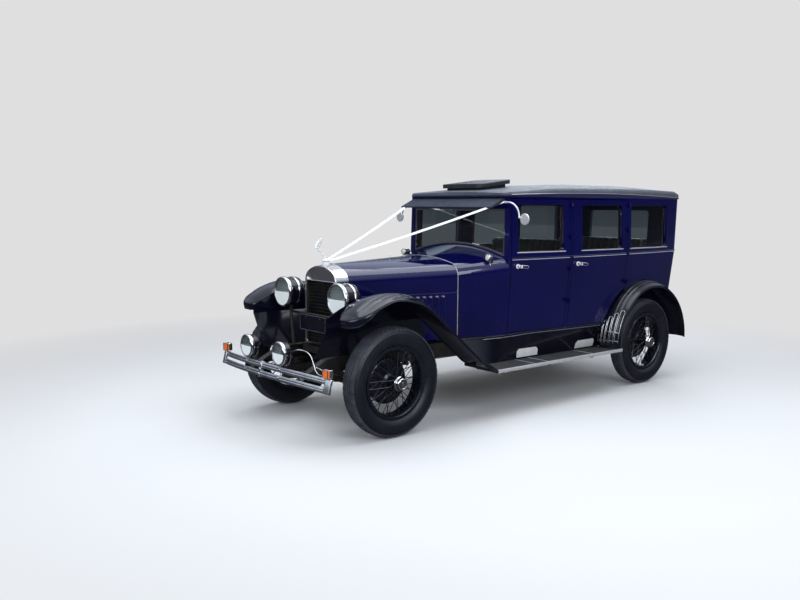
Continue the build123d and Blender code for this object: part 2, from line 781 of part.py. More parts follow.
def plan_face(z, level, inset):
    """The body's outline in plan at one height, drawn in by inset; level picks sill, belt or roof edge."""
    front, middle, tail = (half_widths[key][level] - inset for key in ("front", "middle", "tail"))
    back = body_rears[level] + inset
    corner = max(rear_corner - inset, 5)
    front_x = screen_x - min(inset, front_post - seat_gap)
    cut = corner * (1 - sqrt(0.5))
    edges = []
    for sign in (1, -1):
        edges.append(ThreePointArc(
            (front_x, sign * front, z), (middle_x, sign * middle, z), (back + corner, sign * tail, z)))
        edges.append(ThreePointArc(
            (back + corner, sign * tail, z), (back + cut, sign * (tail - cut), z), (back, sign * (tail - corner), z)))
    edges.append(Line((front_x, front, z), (front_x, -front, z)))
    edges.append(Line((back, tail - corner, z), (back, corner - tail, z)))
    return make_face(Wire(edges))


def body_form(inset, low, high):
    """The body's whole form between two heights, drawn in by inset: straight from sill to belt to roof edge."""
    lower = loft([plan_face(low, 0, inset), plan_face(belt_z, 1, inset)], ruled=True)
    upper = loft([plan_face(belt_z, 1, inset), plan_face(high, 2, inset)], ruled=True)
    return lower + upper


def side_line(x, level=1):
    """The body's half width at a station, on the same arc as its plan, near enough for hinges and handles."""
    stations = (screen_x, middle_x, body_rears[level] + rear_corner)
    widths = [half_widths[key][level] for key in ("front", "middle", "tail")]
    total = 0
    for i, own in enumerate(stations):
        term = widths[i]
        for j, other in enumerate(stations):
            if j != i:
                term *= (x - other) / (own - other)
        total += term
    return total


def side_at(x, z):
    """The body's half width at a station and a height."""
    low, high = (0, 1) if z < belt_z else (1, 2)
    heights = (sill_z, belt_z, roof_edge_z)
    share = (z - heights[low]) / (heights[high] - heights[low])
    return side_line(x, low) + (side_line(x, high) - side_line(x, low)) * share


def door_space(door, grow):
    """What a door fills: round at its free edge, about its hinge line, and square at its hinge edge."""
    hinge_x, free_x = door["hinge"], door["free"]
    y = side_line(hinge_x) + hinge_stand_off
    reach = hypot(free_x - hinge_x, y - side_line(free_x)) + grow
    ring = at(hinge_x, y, (door_bottom + door_top) / 2) * Cylinder(reach, door_top - door_bottom + 2 * grow)
    return ring & box((hinge_x + door_gap / 2 - grow, hinge_x + 1200), (300, 900), (door_bottom - grow, door_top + grow))


def window_prism(span, low, high, corner):
    x0, x1 = span
    place = Plane(origin=((x0 + x1) / 2, 450, (low + high) / 2), x_dir=(-1, 0, 0), z_dir=(0, 1, 0))
    return extrude(place * RectangleRounded(abs(x1 - x0), high - low, corner), 500)


def circle_through(p, q, s):
    """Centre and radius of the circle through three points of a plane."""
    (ax, ay), (bx, by), (cx, cy) = p, q, s
    d = 2 * (ax * (by - cy) + bx * (cy - ay) + cx * (ay - by))
    x = ((ax ** 2 + ay ** 2) * (by - cy) + (bx ** 2 + by ** 2) * (cy - ay) + (cx ** 2 + cy ** 2) * (ay - by)) / d
    y = ((ax ** 2 + ay ** 2) * (cx - bx) + (bx ** 2 + by ** 2) * (ax - cx) + (cx ** 2 + cy ** 2) * (bx - ax)) / d
    return x, y, hypot(ax - x, ay - y)


def rear_fender_section():
    """The rear fender's crown as three points of (y, radius) about the axle."""
    r, inner, lip = rear_fender_radius, rear_fender_inner_y, fender_lip_y
    return (inner, r + rear_fender_rise), ((inner + lip) / 2 + 30, r + rear_fender_crown), (lip, r)


def fender_space(grow):
    """A drum about the rear axle, as large as the rear fender at its crown and larger by grow."""
    _, centre, bend = circle_through(*rear_fender_section())
    return at(rear_axle_x, 0, tyre_radius) * Rot(90, 0, 0) * Cylinder(centre + bend + grow, 2400)


def make_door(wall, door):
    panel = (wall & door_space(door, 0)) - fender_space(door_over_fender) - window_prism(
        door["window"], window_bottom, window_top, window_corner)
    handle_x = door["free"] - handle_set_back
    y = side_line(handle_x) - 2
    panel += at(handle_x, y + 14, handle_z) * Rot(90, 0, 0) * Cylinder(10, 40)
    panel += rod((handle_x + 14, y + 36, handle_z + 3), (handle_x - 84, y + 38, handle_z - 6), handle_radius)
    for z in door["hinge_heights"]:
        panel += hinge_half(door, 1, z - hinge_knuckle_height / 2, z + hinge_knuckle_height / 2)
    return panel.solids().sort_by(SortBy.VOLUME)[-1]


def hinge_half(door, way, low, high):
    """One knuckle about a door's hinge line, with its leaf towards the door (way 1) or the pillar (way -1)."""
    x, y = door["hinge"], side_line(door["hinge"]) + hinge_stand_off
    knuckle = at(x, y, (low + high) / 2) * Cylinder(hinge_knuckle_radius, high - low)
    near, far = sorted((x, x + way * hinge_leaf))
    root = side_at(x, (low + high) / 2) - hinge_leaf_let_in
    leaf = box((near, far), (root, y - hinge_knuckle_radius / 2), (low, high))
    arm = box(sorted((x, x + way * 5)), (y - hinge_stand_off, y), (low, high))
    return knuckle + leaf + arm


def make_glass(middle_skin, span):
    return middle_skin & window_prism(
        (span[0] - seat_gap, span[1] + seat_gap), window_bottom + seat_gap, window_top - seat_gap, window_corner)


def make_left_side(wall):
    side = wall & box((tail_cut, screen_x - front_post), (0, 900), (sill_z - 10, 2000))
    for door in doors:
        side -= door_space(door, door_gap)
    side -= fender_space(seat_gap)
    side -= window_prism(quarter_window, window_bottom, window_top, window_corner)
    half, end = hinge_knuckle_height / 2 + seat_gap, hinge_knuckle_height / 2 + hinge_end_height
    for door in doors:
        for z in door["hinge_heights"]:
            side += hinge_half(door, -1, z + half, z + end) + hinge_half(door, -1, z - end, z - half)
    return side


def make_front_wall(wall):
    """The posts either side of the windscreen, the header over it and the rail under it."""
    front = wall & box((screen_x - front_post + seat_gap, screen_x + 10), (-900, 900), (sill_z - 10, 2000))
    front -= screen_prism(0, screen_x - 200, screen_x + 100)
    legs = box((screen_x - 200, screen_x + 10), (-520, 520), (sill_z - 10, leg_room_top))
    return front - legs


def make_back(wall):
    back = wall & box((-4000, tail_cut - seat_gap), (-900, 900), (sill_z - 10, 2000))
    place = Plane(origin=(-3500, 0, rear_window_z), x_dir=(0, 1, 0), z_dir=(-1, 0, 0))
    back -= extrude(place * RectangleRounded(*rear_window_size, 40), 500)
    wheels = fender_space(seat_gap) & box((-5000, 0), (rear_fender_inner_y - seat_gap, 900), (0, 2000))
    return back - wheels - other_side(wheels)


def make_roof():
    foot = roof_edge_z + seat_gap
    roof = loft([arch(x, w, top, shoulder, r, foot) for x, w, top, shoulder, r in roof_sections], ruled=True)
    faces = []
    for x, w, top, shoulder, r in roof_sections[1:-1]:
        ceiling = top - roof_wall
        faces.append(arch(x, w - roof_wall, ceiling, min(shoulder, ceiling - 12), max(r - roof_wall, 6), foot - 1))
    return roof - loft(faces, ruled=True)


def make_hatch(roof):
    """A raised lid with a crowned top and round corners, on a narrower plinth that stands on the roof."""
    (front_x, rear_x), w = hatch_ends, hatch_half_width
    lid = loft([arch(x, w, top, top - 14, 12, low) for x, top, low in zip(hatch_ends, hatch_tops, hatch_lows)], ruled=True)
    plan = Plane(origin=((front_x + rear_x) / 2, 0, 1800)) * RectangleRounded(front_x - rear_x, 2 * w, hatch_corner)
    lid &= extrude(plan, 400)
    inset = hatch_plinth_inset
    x0, x1 = front_x - inset, rear_x + inset
    plinth = prism([(x0, hatch_lows[0] - 50), (x0, hatch_lows[0] + 10), (x1, hatch_lows[1] + 8), (x1, hatch_lows[1] - 50)],
                   (inset - w, w - inset))
    plinth = (plinth - at(0, 0, seat_gap) * roof).solids().sort_by(Axis.Z)[-1]
    return lid + plinth


def make_visor():
    """A stiff peak over the windscreen, with a lip all round."""
    visor = prism([(screen_x + seat_gap, 1822), (screen_x + seat_gap, 1834), (-1175, 1752), (-1178, 1740)],
                  (-visor_half_width, visor_half_width))
    for sign in (1, -1):
        inner, outer = sorted((sign * visor_half_width, sign * (visor_half_width - 6)))
        visor += prism([(screen_x + seat_gap, 1834), (screen_x + seat_gap, 1790), (-1176, 1741), (-1175, 1752)], (inner, outer))
    return visor


# Fenders, boards and aprons

def fender_path():
    """The front fender's lip from its tip, over the wheel and down to the running board, as (x, z) pieces."""
    top_x, top_z = fender_top
    a = radians(fender_front_turn)
    b = radians(fender_slope)
    r1, r2, r3 = fender_front_radius, fender_rear_radius, fender_foot_radius
    y = (fender_inner_y + fender_lip_y) / 2
    tip = (top_x + r1 * sin(a), y, top_z - r1 + r1 * cos(a))
    tip_mid = (top_x + r1 * sin(a / 2), y, top_z - r1 + r1 * cos(a / 2))
    top = (top_x, y, top_z)
    rear_mid = (top_x - r2 * sin(b / 2), y, top_z - r2 + r2 * cos(b / 2))
    rear = (top_x - r2 * sin(b), y, top_z - r2 + r2 * cos(b))
    drop = rear[2] - board_top
    foot_x = rear[0] - drop / sin(b) * cos(b)
    back = r3 * (1 - cos(b)) / sin(b)
    start = (foot_x + back * cos(b), y, board_top + back * sin(b))
    end = (foot_x - back, y, board_top)
    middle = (end[0] + r3 * sin(b / 2), y, board_top + r3 - r3 * cos(b / 2))
    return [
        ThreePointArc(tip, tip_mid, top), ThreePointArc(top, rear_mid, rear), Line(rear, start),
        ThreePointArc(start, middle, end),
    ], tip, a, end


def make_front_fender():
    pieces, tip, angle, end = fender_path()
    half = (fender_lip_y - fender_inner_y) / 2
    tangent = Vector(cos(angle), 0, -sin(angle))
    normal = Vector(sin(angle), 0, cos(angle))
    start = Vector(*tip)

    def place(y, h):
        p = start + normal * h + Vector(0, y, 0)
        return (p.X, p.Y, p.Z)

    profile = make_face(Wire([
        ThreePointArc(place(-half, fender_inner_rise), place(10, fender_crown), place(half, 0)),
        Line(place(half, 0), place(half - 4, -10)),
        ThreePointArc(place(half - 4, -10), place(10, fender_crown - sheet), place(-half, fender_inner_rise - sheet)),
        Line(place(-half, fender_inner_rise - sheet), place(-half, fender_inner_rise)),
    ]))
    fender = sweep(profile, path=Wire(pieces))
    plan = Plane.XY * make_face(Polyline(
        (end[0] - 5, fender_inner_y - 5), (fender_tip_x, fender_inner_y - 5), (fender_tip_x, fender_lip_y + 5),
        (end[0] - 5, fender_lip_y + 5), close=True))
    rounded = extrude(plan, 2000)
    corners = rounded.edges().filter_by(Axis.Z).group_by(Axis.X)[-1]
    rounded = fillet(corners, fender_tip_round)
    return fender & rounded


def make_rear_fender():
    """A crowned arch over the wheel, with the wall that closes it inside the body."""
    (inner, r_in), (mid, r_mid), (lip, r) = rear_fender_section()
    face = make_face(Wire([
        ThreePointArc((r_in, inner, 0), (r_mid, mid, 0), (r, lip, 0)),
        Line((r, lip, 0), (r - 10, lip - 4, 0)),
        ThreePointArc((r - 10, lip - 4, 0), (r_mid - sheet, mid, 0), (r_in - sheet, inner, 0)),
        Line((r_in - sheet, inner, 0), (r_in, inner, 0)),
    ]))
    arc = revolve(face, Axis.Y, 180)
    wall = turned([(0, inner), (r_in, inner), (r_in, inner + sheet), (0, inner + sheet)])
    wall &= box((-1000, 1000), (0, 1000), (floor_low - tyre_radius, 1000))
    placed = at(rear_axle_x, 0, tyre_radius) * (orient_up(arc) + wall)
    return placed


def orient_up(arc):
    """Turns a half ring so that it arches upward, whichever way it was revolved."""
    return arc if arc.center().Z > 0 else Rot(0, 180, 0) * arc


def make_running_board():
    board_front = fender_path()[3][0] - seat_gap
    board = box((board_rear, board_front), (board_inner_y, fender_lip_y - 8), (board_top - board_thickness, board_top))
    return fillet(board.edges().filter_by(Axis.X).group_by(Axis.Y)[-1], 8)


def apron_strip(z, edge, inset):
    """A strip of the apron's thickness at one height: edge is its outer line, as two or three (x, y) points."""
    outer = [(x, y - inset, z) for x, y in edge]
    inner = [(x, y - inset - sheet, z) for x, y in edge]
    if len(edge) == 2:
        return make_face(Polyline(*outer, *reversed(inner), close=True))
    return make_face(Wire([ThreePointArc(*outer), Line(outer[2], inner[2]), ThreePointArc(*inner), Line(inner[0], outer[0])]))


def apron_behind(inset):
    """The apron under the body, between the windscreen post and the rear fender, drawn in by inset."""
    foot = [(x, board_inner_y + sheet) for x in (screen_x, apron_rear)]
    head = [(x, side_line(x, 0)) for x in (screen_x, (screen_x + apron_rear) / 2, apron_rear)]
    return loft([apron_strip(board_top + seat_gap, foot, inset),
                 apron_strip(sill_z - seat_gap, head, apron_inset + inset)], ruled=True)


def make_apron():
    """The sheet between the running board and the foot of the cowl and body, leaning out as they widen."""
    low, high = board_top + seat_gap, sill_z - seat_gap
    post = (screen_x, half_widths["front"][0])
    cowl_x = bonnet_rear - 10
    share = (bonnet_rear - cowl_x) / (bonnet_rear - screen_x)
    cowl_y = bonnet_rear_half_width + (post[1] - bonnet_rear_half_width) * share
    ahead = loft([apron_strip(low, [(cowl_x, board_inner_y + sheet), (screen_x, board_inner_y + sheet)], 0),
                  apron_strip(high, [(cowl_x, cowl_y), post], apron_inset)], ruled=True)
    return (ahead - under_fender(fender_crown + 4)) + apron_behind(0)


# Bumper and lamps

def bumper_bar(low, high):
    """One bumper bar: a flat strip bent to a shallow bow, level before the whole bumper is tilted."""
    radius = (bumper_half_width ** 2 + bumper_bow ** 2) / (2 * bumper_bow)
    centre = bumper_front - radius
    turn = atan2(bumper_half_width, radius - bumper_bow)

    def place(r, angle):
        return centre + r * cos(angle), r * sin(angle), low

    inner = radius - bumper_bar_depth
    face = make_face(Wire([
        ThreePointArc(place(radius, -turn), place(radius, 0), place(radius, turn)),
        Line(place(radius, turn), place(inner, turn)),
        ThreePointArc(place(inner, turn), place(inner, 0), place(inner, -turn)),
        Line(place(inner, -turn), place(radius, -turn)),
    ]))
    return extrude(face, high - low, dir=(0, 0, 1))


def make_bumper():
    upper = bumper_bar(bumper_top - bumper_bar_height, bumper_top)
    lower = bumper_bar(bumper_bottom, bumper_bottom + bumper_bar_height)
    back = bumper_front - bumper_bar_depth
    clamp = box((back - 14, bumper_front + 6), (-14, 14), (bumper_bottom - 8, bumper_top + 8))
    bumper = upper + lower + clamp
    slope = degrees(atan2(2 * bumper_bow, bumper_half_width))
    depth, width = bumper_cap
    for sign in (1, -1):
        bumper += at(bumper_end_x + 8, sign * (bumper_half_width - width / 2 + 1), bumper_middle_z) * Rot(
            0, 0, sign * slope) * Box(depth, width, bumper_top - bumper_bottom)
    return tilted_bumper(bumper)


def tilted_bumper(shape):
    """A shape of the bumper, leaned back about the line through its ends."""
    middle = at(bumper_end_x, 0, bumper_middle_z)
    return middle * Rot(0, -bumper_tilt, 0) * at(-bumper_end_x, 0, -bumper_middle_z) * shape


def make_iron():
    """The left iron, which carries the bumper from the end of the frame and ends behind its bars."""
    half = iron_thickness / 2
    y0, y1 = rail_front_y - half, driving_lamp[1] + 10
    x0, x1 = rail_front + horn_nose + seat_gap, bumper_front + 20
    plan = make_face(Polyline((x0, y0 - half, iron_low), (x0, y0 + half, iron_low), (x1, y1 + half, iron_low),
                              (x1, y1 - half, iron_low), close=True))
    bars = tilted_bumper(bumper_bar(bumper_bottom, bumper_top))
    return (extrude(plan, iron_height) - bars).solids().sort_by(Axis.X)[0]


def make_lamp(place, radius, depth, rim):
    """A drum-shaped lamp facing forward: a domed back, a straight barrel and a rim that holds the lens."""
    x, y, z = place
    back = x - depth
    return turned_x([
        (0, back), (radius * 0.45, back + depth * 0.03), (radius * 0.8, back + depth * 0.12), (radius - 8, back + depth * 0.25),
        (radius - 8, x - rim), (radius, x - rim), (radius, x - 6), (radius - 6, x), (radius - 12, x),
        (radius - 12, x - lens_thickness - 2), (radius - 16, x - lens_thickness - 2), (radius - 16, x - depth * 0.5),
        (radius * 0.5, back + 14), (0, back + 10),
    ], (0, y, z))


def make_lens(place, radius):
    x, y, z = place
    return at(x - 2 - lens_thickness / 2, y, z) * Rot(0, 90, 0) * Cylinder(radius - 12 - seat_gap, lens_thickness - 1)


def make_lamp_bar(lamp):
    """The bar across the bumper's irons, with a stem under each driving lamp."""
    z = iron_low + iron_height + seat_gap + lamp_bar_radius
    x, y, lamp_z = lamp_bar_x, driving_lamp[1], driving_lamp[2]
    bar = rod((x, -y - 50, z), (x, y + 50, z), lamp_bar_radius)
    for sign in (1, -1):
        bar += rod((x, sign * y, z), (x, sign * y, lamp_z), lamp_stem_radius)
    return (bar - lamp - other_side(lamp)).solids().sort_by(SortBy.VOLUME)[-1]


def make_headlamp_posts(lamp):
    """Two posts on the frame, joined by the bar that carries the number plate."""
    x, y, z = headlamp_post_x, headlamp[1], headlamp[2]
    posts = rod((x, -y, tie_bar_z), (x, y, tie_bar_z), 11)
    for sign in (1, -1):
        posts += rod((x, sign * y, tie_bar_z), (x, sign * y, z), headlamp_post_radius)
        posts += at(x, sign * y, tie_bar_z) * Sphere(headlamp_post_radius)
        posts += rod((x, sign * (rail_front_y - 30), rail_top - 20), (x, sign * y, tie_bar_z), headlamp_post_radius)
    posts -= box((x - 50, x + 50), (-500, 500), (rail_top - 80, rail_top + seat_gap))
    return (posts - lamp - other_side(lamp)).solids().sort_by(SortBy.VOLUME)[-1]


def make_plate():
    """The blank number plate, on two straps from the tie bar."""
    x, z = plate_place
    plate = at(x, 0, z) * Box(plate_thickness, *plate_size)
    plate += at(x + 2, 0, z) * (Box(4, *plate_size) - Box(5, plate_size[0] - 16, plate_size[1] - 16))
    for sign in (1, -1):
        plate += box((headlamp_post_x + 11 + seat_gap, x), (sign * 100 - 12, sign * 100 + 12), (z + 40, z + 64))
    return plate


def make_indicator(bumper):
    """A square indicator lamp on a short foot that stands on the bumper's upper bar."""
    depth, width, height = indicator_size
    x, y, low = bumper_end_x - 5, bumper_half_width - indicator_set_in, bumper_top + 6
    lens = at(x, y, low + height / 2) * Box(depth, width, height)
    lens = fillet(lens.edges().filter_by(Axis.Z), 7)
    block = lens + box((x - 2, x + 12), (y - 9, y + 9), (bumper_top - 10, low + 4))
    return (block - bumper).solids().sort_by(SortBy.VOLUME)[-1]


def make_lead(route, *ends):
    """A held lead: straight runs joined by arcs, each 0.45 of its shorter run from its corner, cut to its ends."""
    points = [Vector(*point) for point in route]
    radii = []
    for before, corner, after in zip(points, points[1:], points[2:]):
        turn = (corner - before).get_angle(after - corner)
        radii.append(0.45 * min((corner - before).length, (after - corner).length) / tan(radians(turn / 2)))
    path = FilletPolyline(*points, radius=radii)
    print("lead", round(path.length), "mm, radii", [round(radius) for radius in radii])
    tube = sweep(Plane(origin=points[0], z_dir=points[1] - points[0]) * Circle(lead_radius), path=path)
    for end in ends:
        tube -= end
    return tube.solids().sort_by(SortBy.VOLUME)[-1]


def make_mirror(wall):
    """A round mirror on a bent arm from the top of the windscreen post, ahead of the door's sweep."""
    x, y, z = mirror_head
    root, bend, end = (mirror_arm_x, 612, 1793), (mirror_arm_x, 652, 1792), (mirror_arm_x, y - mirror_radius - 2, z + 16)
    path = ThreePointArc(bend, (mirror_arm_x, 732, 1752), end)
    arm = sweep(Plane(origin=bend, z_dir=path % 0) * Circle(mirror_arm_radius), path=path)
    arm += rod(root, bend, mirror_arm_radius) + at(*bend) * Sphere(mirror_arm_radius)
    arm += rod((screen_x - 6, root[1], root[2]), (mirror_arm_x + mirror_arm_radius, root[1], root[2]), 10)
    arm += at(*end) * Sphere(11) + rod(end, (x, y - mirror_radius + 12, z + 6), 6)
    glass = at(x, y, z) * Rot(0, 90, 0) * Cylinder(mirror_radius, 16)
    glass = fillet(glass.edges().filter_by(GeomType.CIRCLE), 5)
    return (arm + glass - wall).solids().sort_by(SortBy.VOLUME)[-1]


def under_fender(rise):
    """All the space under the front fender's lip line, when that is raised by rise."""
    pieces, tip, angle, end = fender_path()
    outline = Wire(pieces + [Line(end, (end[0], end[1], 0)), Line((end[0], end[1], 0), (tip[0], tip[1], 0)),
                             Line((tip[0], tip[1], 0), tip)])
    return at(0, 0, rise) * extrude(make_face(outline), 900, both=True, dir=(0, 1, 0))


def make_valance():
    """The sheet between the frame and the front fender, over the wheel's inner side."""
    knee_y = fender_inner_y - sheet
    points = [(valance_foot_y, rail_top + seat_gap), (knee_y, valance_knee), (knee_y, 1200),
              (knee_y + sheet - 1, 1200), (knee_y + sheet - 1, valance_knee - 2), (valance_foot_y + 6, rail_top + seat_gap)]
    face = make_face(Polyline(*[(470, y, z) for y, z in points], close=True))
    band = extrude(face, 470 - valance_rear, dir=(-1, 0, 0))
    return band & under_fender(fender_inner_rise - sheet - seat_gap)


def make_floor():
    """The floor boards from the firewall to the tail, cut round the rear wheels."""
    z0, z1 = floor_low, sill_z - seat_gap
    main = extrude(plan_face(z0, 0, floor_inset), z1 - z0)
    front = box((screen_x - 40, bonnet_rear - cowl_wall - seat_gap), (-430, 430), (z0, z1))
    wheels = fender_space(seat_gap) & box((-5000, 0), (rear_fender_inner_y - seat_gap, 900), (0, 2000))
    return main + front - wheels - other_side(wheels)


def make_dashboard():
    x = screen_x - front_post - seat_gap
    board = box((x - 18, x), (-540, 540), (leg_room_top - 10, 1318))
    for y, radius in gauges:
        board += at(x - 20, y, 1255) * Rot(0, 90, 0) * Cylinder(radius, 12)
    return board


def make_steering_column():
    start = (-450, steering_y, 560)
    line = Vector(*steering_wheel_centre) - Vector(*start)
    end = Vector(*steering_wheel_centre) - line.normalized() * (steering_hub_height / 2 + seat_gap)
    column = rod(start, (end.X, end.Y, end.Z), steering_column_radius)
    gearbox = box((-520, -380), (-rail_inner_front + seat_gap, steering_y + 50), (500, 640))
    return column + gearbox


def make_steering_wheel():
    start = Vector(-450, steering_y, 560)
    centre = Vector(*steering_wheel_centre)
    place = Plane(origin=steering_wheel_centre, z_dir=centre - start)
    wheel = Torus(steering_wheel_radius - 12, 12) + Cylinder(30, steering_hub_height)
    for angle in (0, 90, 180, 270):
        wheel += Rot(0, 0, angle) * Pos(steering_wheel_radius / 2, 0, 0) * Box(steering_wheel_radius - 20, 16, 8)
    return place * wheel


def make_seat(front_x, back_x, base_z, width):
    """A bench: its cushion and its leaning back, clear of each other."""
    cushion = box((back_x + 130, front_x), (-width, width), (base_z + 190, base_z + 340))
    cushion = fillet(cushion.edges(), 30)
    base = box((back_x + 10, front_x - 40), (-width + 40, width - 40), (base_z, base_z + 190 - seat_gap))
    back = prism([(back_x + 128, base_z + 190), (back_x + 60, base_z + 800), (back_x - 60, base_z + 800), (back_x, base_z + 190)],
                 (-width, width))
    back = fillet(back.edges(), 30)
    return group(cushion, base, back)


def make_step_plates():
    """Polished plates against the foot of the aprons under the doors, where shoes meet them."""
    low, high = step_heights
    plates = []
    for x in step_stations:
        x0, x1, cut = x - step_half_length, x + step_half_length, step_corner
        outline = prism([(x0, low), (x1, low), (x1, high - cut), (x1 - cut, high), (x0 + cut, high), (x0, high - cut)],
                        (500, 900))
        plates.append(apron_behind(-sheet - seat_gap) & outline)
    return group(*[both_sides(plate) for plate in plates])


def build():
    """Every piece by its node's name."""
    nodes = {}
    frame = make_frame()
    engine = make_engine()
    rear_axle = make_rear_axle()
    nodes["frame"] = frame
    nodes["springs"] = make_springs()
    nodes["front_axle"] = make_front_axle()
    nodes["rear_axle"] = rear_axle
    nodes["engine"] = engine
    nodes["driveline"] = make_driveline(engine, rear_axle)
    nodes["exhaust"] = make_exhaust(engine)
    nodes["fuel_tank"] = make_fuel_tank()

    nodes["radiator_shell"] = make_radiator_shell()
    nodes["radiator_core"] = group(make_radiator_core(), make_shutters())
    nodes["radiator_cap"] = make_radiator_cap()
    nodes["bonnet_hinge"] = make_bonnet_hinge()
    bonnet_top = make_bonnet_top()
    nodes["bonnet_left"] = bonnet_top
    nodes["bonnet_right"] = other_side(bonnet_top)
    nodes["bonnet_sides"] = both_sides(make_bonnet_side())
    nodes["cowl"] = make_cowl()

    wall = body_form(0, sill_z, roof_edge_z) - body_form(body_wall, sill_z - 1, roof_edge_z + 1)
    nodes["body_sides"] = group(both_sides(make_left_side(wall)), make_front_wall(wall))
    nodes["body_back"] = make_back(wall)
    nodes["floor"] = make_floor()
    roof = make_roof()
    nodes["roof"] = roof
    nodes["roof_hatch"] = make_hatch(roof)
    nodes["sun_visor"] = make_visor()
    nodes["windscreen_frame"] = screen_prism(seat_gap, screen_x - 20, screen_x - 6) - screen_prism(
        screen_frame_width, screen_x - 30, screen_x)
    nodes["dashboard"] = make_dashboard()
    nodes["steering_column"] = make_steering_column()
    nodes["steering_wheel"] = make_steering_wheel()
    nodes["seats"] = group(*[make_seat(*seat) for seat in (front_seat, rear_seat)])

    skin_in = (body_wall - glass_thickness) / 2
    skin = body_form(skin_in, sill_z, roof_edge_z) - body_form(skin_in + glass_thickness, sill_z - 1, roof_edge_z + 1)
    for door in doors:
        panel, glass = make_door(wall, door), make_glass(skin, door["window"])
        nodes[f"{door['name']}_door_left"] = panel
        nodes[f"{door['name']}_door_right"] = other_side(panel)
        nodes[f"{door['name']}_door_glass_left"] = glass
        nodes[f"{door['name']}_door_glass_right"] = other_side(glass)
    place = Plane(origin=(-3500, 0, rear_window_z), x_dir=(0, 1, 0), z_dir=(-1, 0, 0))
    rear_pane = skin & extrude(
        place * RectangleRounded(rear_window_size[0] - 2 * seat_gap, rear_window_size[1] - 2 * seat_gap, 40), 500)
    screen = screen_prism(screen_frame_width + seat_gap, screen_x - 16, screen_x - 10)
    nodes["fixed_glass"] = group(screen, both_sides(make_glass(skin, quarter_window)), rear_pane)

    nodes["fenders"] = group(both_sides(make_front_fender()), both_sides(make_rear_fender()))
    nodes["aprons"] = group(both_sides(make_apron()), both_sides(make_valance()))
    nodes["running_boards"] = both_sides(make_running_board())
    nodes["step_plates"] = make_step_plates()

    bumper = make_bumper()
    head = make_lamp(headlamp, headlamp_radius, headlamp_depth, headlamp_rim)
    driving = make_lamp(driving_lamp, driving_lamp_radius, driving_lamp_depth, driving_lamp_rim)
    indicator = make_indicator(bumper)
    lamp_lead = make_lead(lead_routes[0], driving, indicator) + rod(*lead_ferrule)
    iron_lead = make_lead(lead_routes[1], make_iron(), indicator)
    nodes["bumper"] = bumper
    nodes["indicator_leads"] = group(lamp_lead, iron_lead)
    nodes["lamp_brackets"] = group(both_sides(make_iron()), make_lamp_bar(driving), make_headlamp_posts(head))
    nodes["lamps"] = group(both_sides(head), both_sides(driving))
    nodes["lamp_lenses"] = group(both_sides(make_lens(headlamp, headlamp_radius)),
                                 both_sides(make_lens(driving_lamp, driving_lamp_radius)))
    nodes["number_plate"] = make_plate()
    nodes["indicators"] = both_sides(indicator)
    nodes["mirrors"] = both_sides(make_mirror(wall))

    knuckle = make_knuckle()
    nodes["knuckle_left"] = knuckle
    nodes["knuckle_right"] = other_side(knuckle)
    nodes["tie_rod"] = make_tie_rod()
    tyre, wheel = make_tyre(), group(make_wheel(), make_drum())
    for end, x in (("front", 0), ("rear", rear_axle_x)):
        nodes[f"{end}_tyre_left"] = at(x, half_track, tyre_radius) * tyre
        nodes[f"{end}_tyre_right"] = other_side(at(x, half_track, tyre_radius) * tyre)
        nodes[f"{end}_wheel_left"] = at(x, half_track, tyre_radius) * wheel
        nodes[f"{end}_wheel_right"] = other_side(at(x, half_track, tyre_radius) * wheel)
    return nodes


def middle_station():
    """The station halfway between the bumper's front and the roof's tail, where the origin goes."""
    return (make_bumper().bounding_box().max.X + roof_sections[-1][0]) / 2


if __name__ == "__main__":
    os.makedirs("parts", exist_ok=True)
    middle = middle_station()
    for name, shape in build().items():
        export_step(Pos(-middle, 0, 0) * shape, f"parts/{name}.step")
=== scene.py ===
"""Finish, trim and soft furnishings of a 1920s four-door saloon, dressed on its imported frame.

Lengths are in metres in the frame's own axes: X forward, Y to the car's left, Z up from the ground.
"""

import json
import logging
import math
from collections.abc import Callable, Iterable, Sequence
from dataclasses import dataclass
from enum import StrEnum

import bpy
import numpy as np
from mathutils import Matrix, Vector


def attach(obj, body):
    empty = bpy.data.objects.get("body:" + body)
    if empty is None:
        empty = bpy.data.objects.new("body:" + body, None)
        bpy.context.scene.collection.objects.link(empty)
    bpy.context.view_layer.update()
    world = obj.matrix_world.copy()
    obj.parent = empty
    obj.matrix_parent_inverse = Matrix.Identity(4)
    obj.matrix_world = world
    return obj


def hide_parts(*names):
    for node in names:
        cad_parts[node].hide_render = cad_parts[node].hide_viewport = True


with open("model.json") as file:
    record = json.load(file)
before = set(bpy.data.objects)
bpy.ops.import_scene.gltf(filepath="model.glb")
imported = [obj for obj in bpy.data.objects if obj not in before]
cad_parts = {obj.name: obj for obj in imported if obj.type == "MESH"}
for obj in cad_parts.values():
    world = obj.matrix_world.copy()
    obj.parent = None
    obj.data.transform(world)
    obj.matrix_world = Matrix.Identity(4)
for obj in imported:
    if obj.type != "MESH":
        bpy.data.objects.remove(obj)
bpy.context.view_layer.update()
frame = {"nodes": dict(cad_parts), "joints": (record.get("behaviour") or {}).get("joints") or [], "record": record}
log = logging.getLogger("saloon")

MM = 0.001
AXLE_X = next(j["pos_m"][0] for j in frame["joints"] if j["name"] == "steer_left")


# the curve where the roof's cloth ends: its crest in millimetres, and its fall for each millimetre squared
ROOF_CREST_X, ROOF_CREST, ROOF_FALL = -2550, 1880, 1.65e-5


class Axis(StrEnum):
    """The car's three directions."""

    AHEAD = "X"
    ACROSS = "Y"
    UP = "Z"


class Side(StrEnum):
    """The car's two sides."""

    LEFT = "left"
    RIGHT = "right"


class End(StrEnum):
    """The car's two axles, and the doors nearest to them."""

    FRONT = "front"
    REAR = "rear"


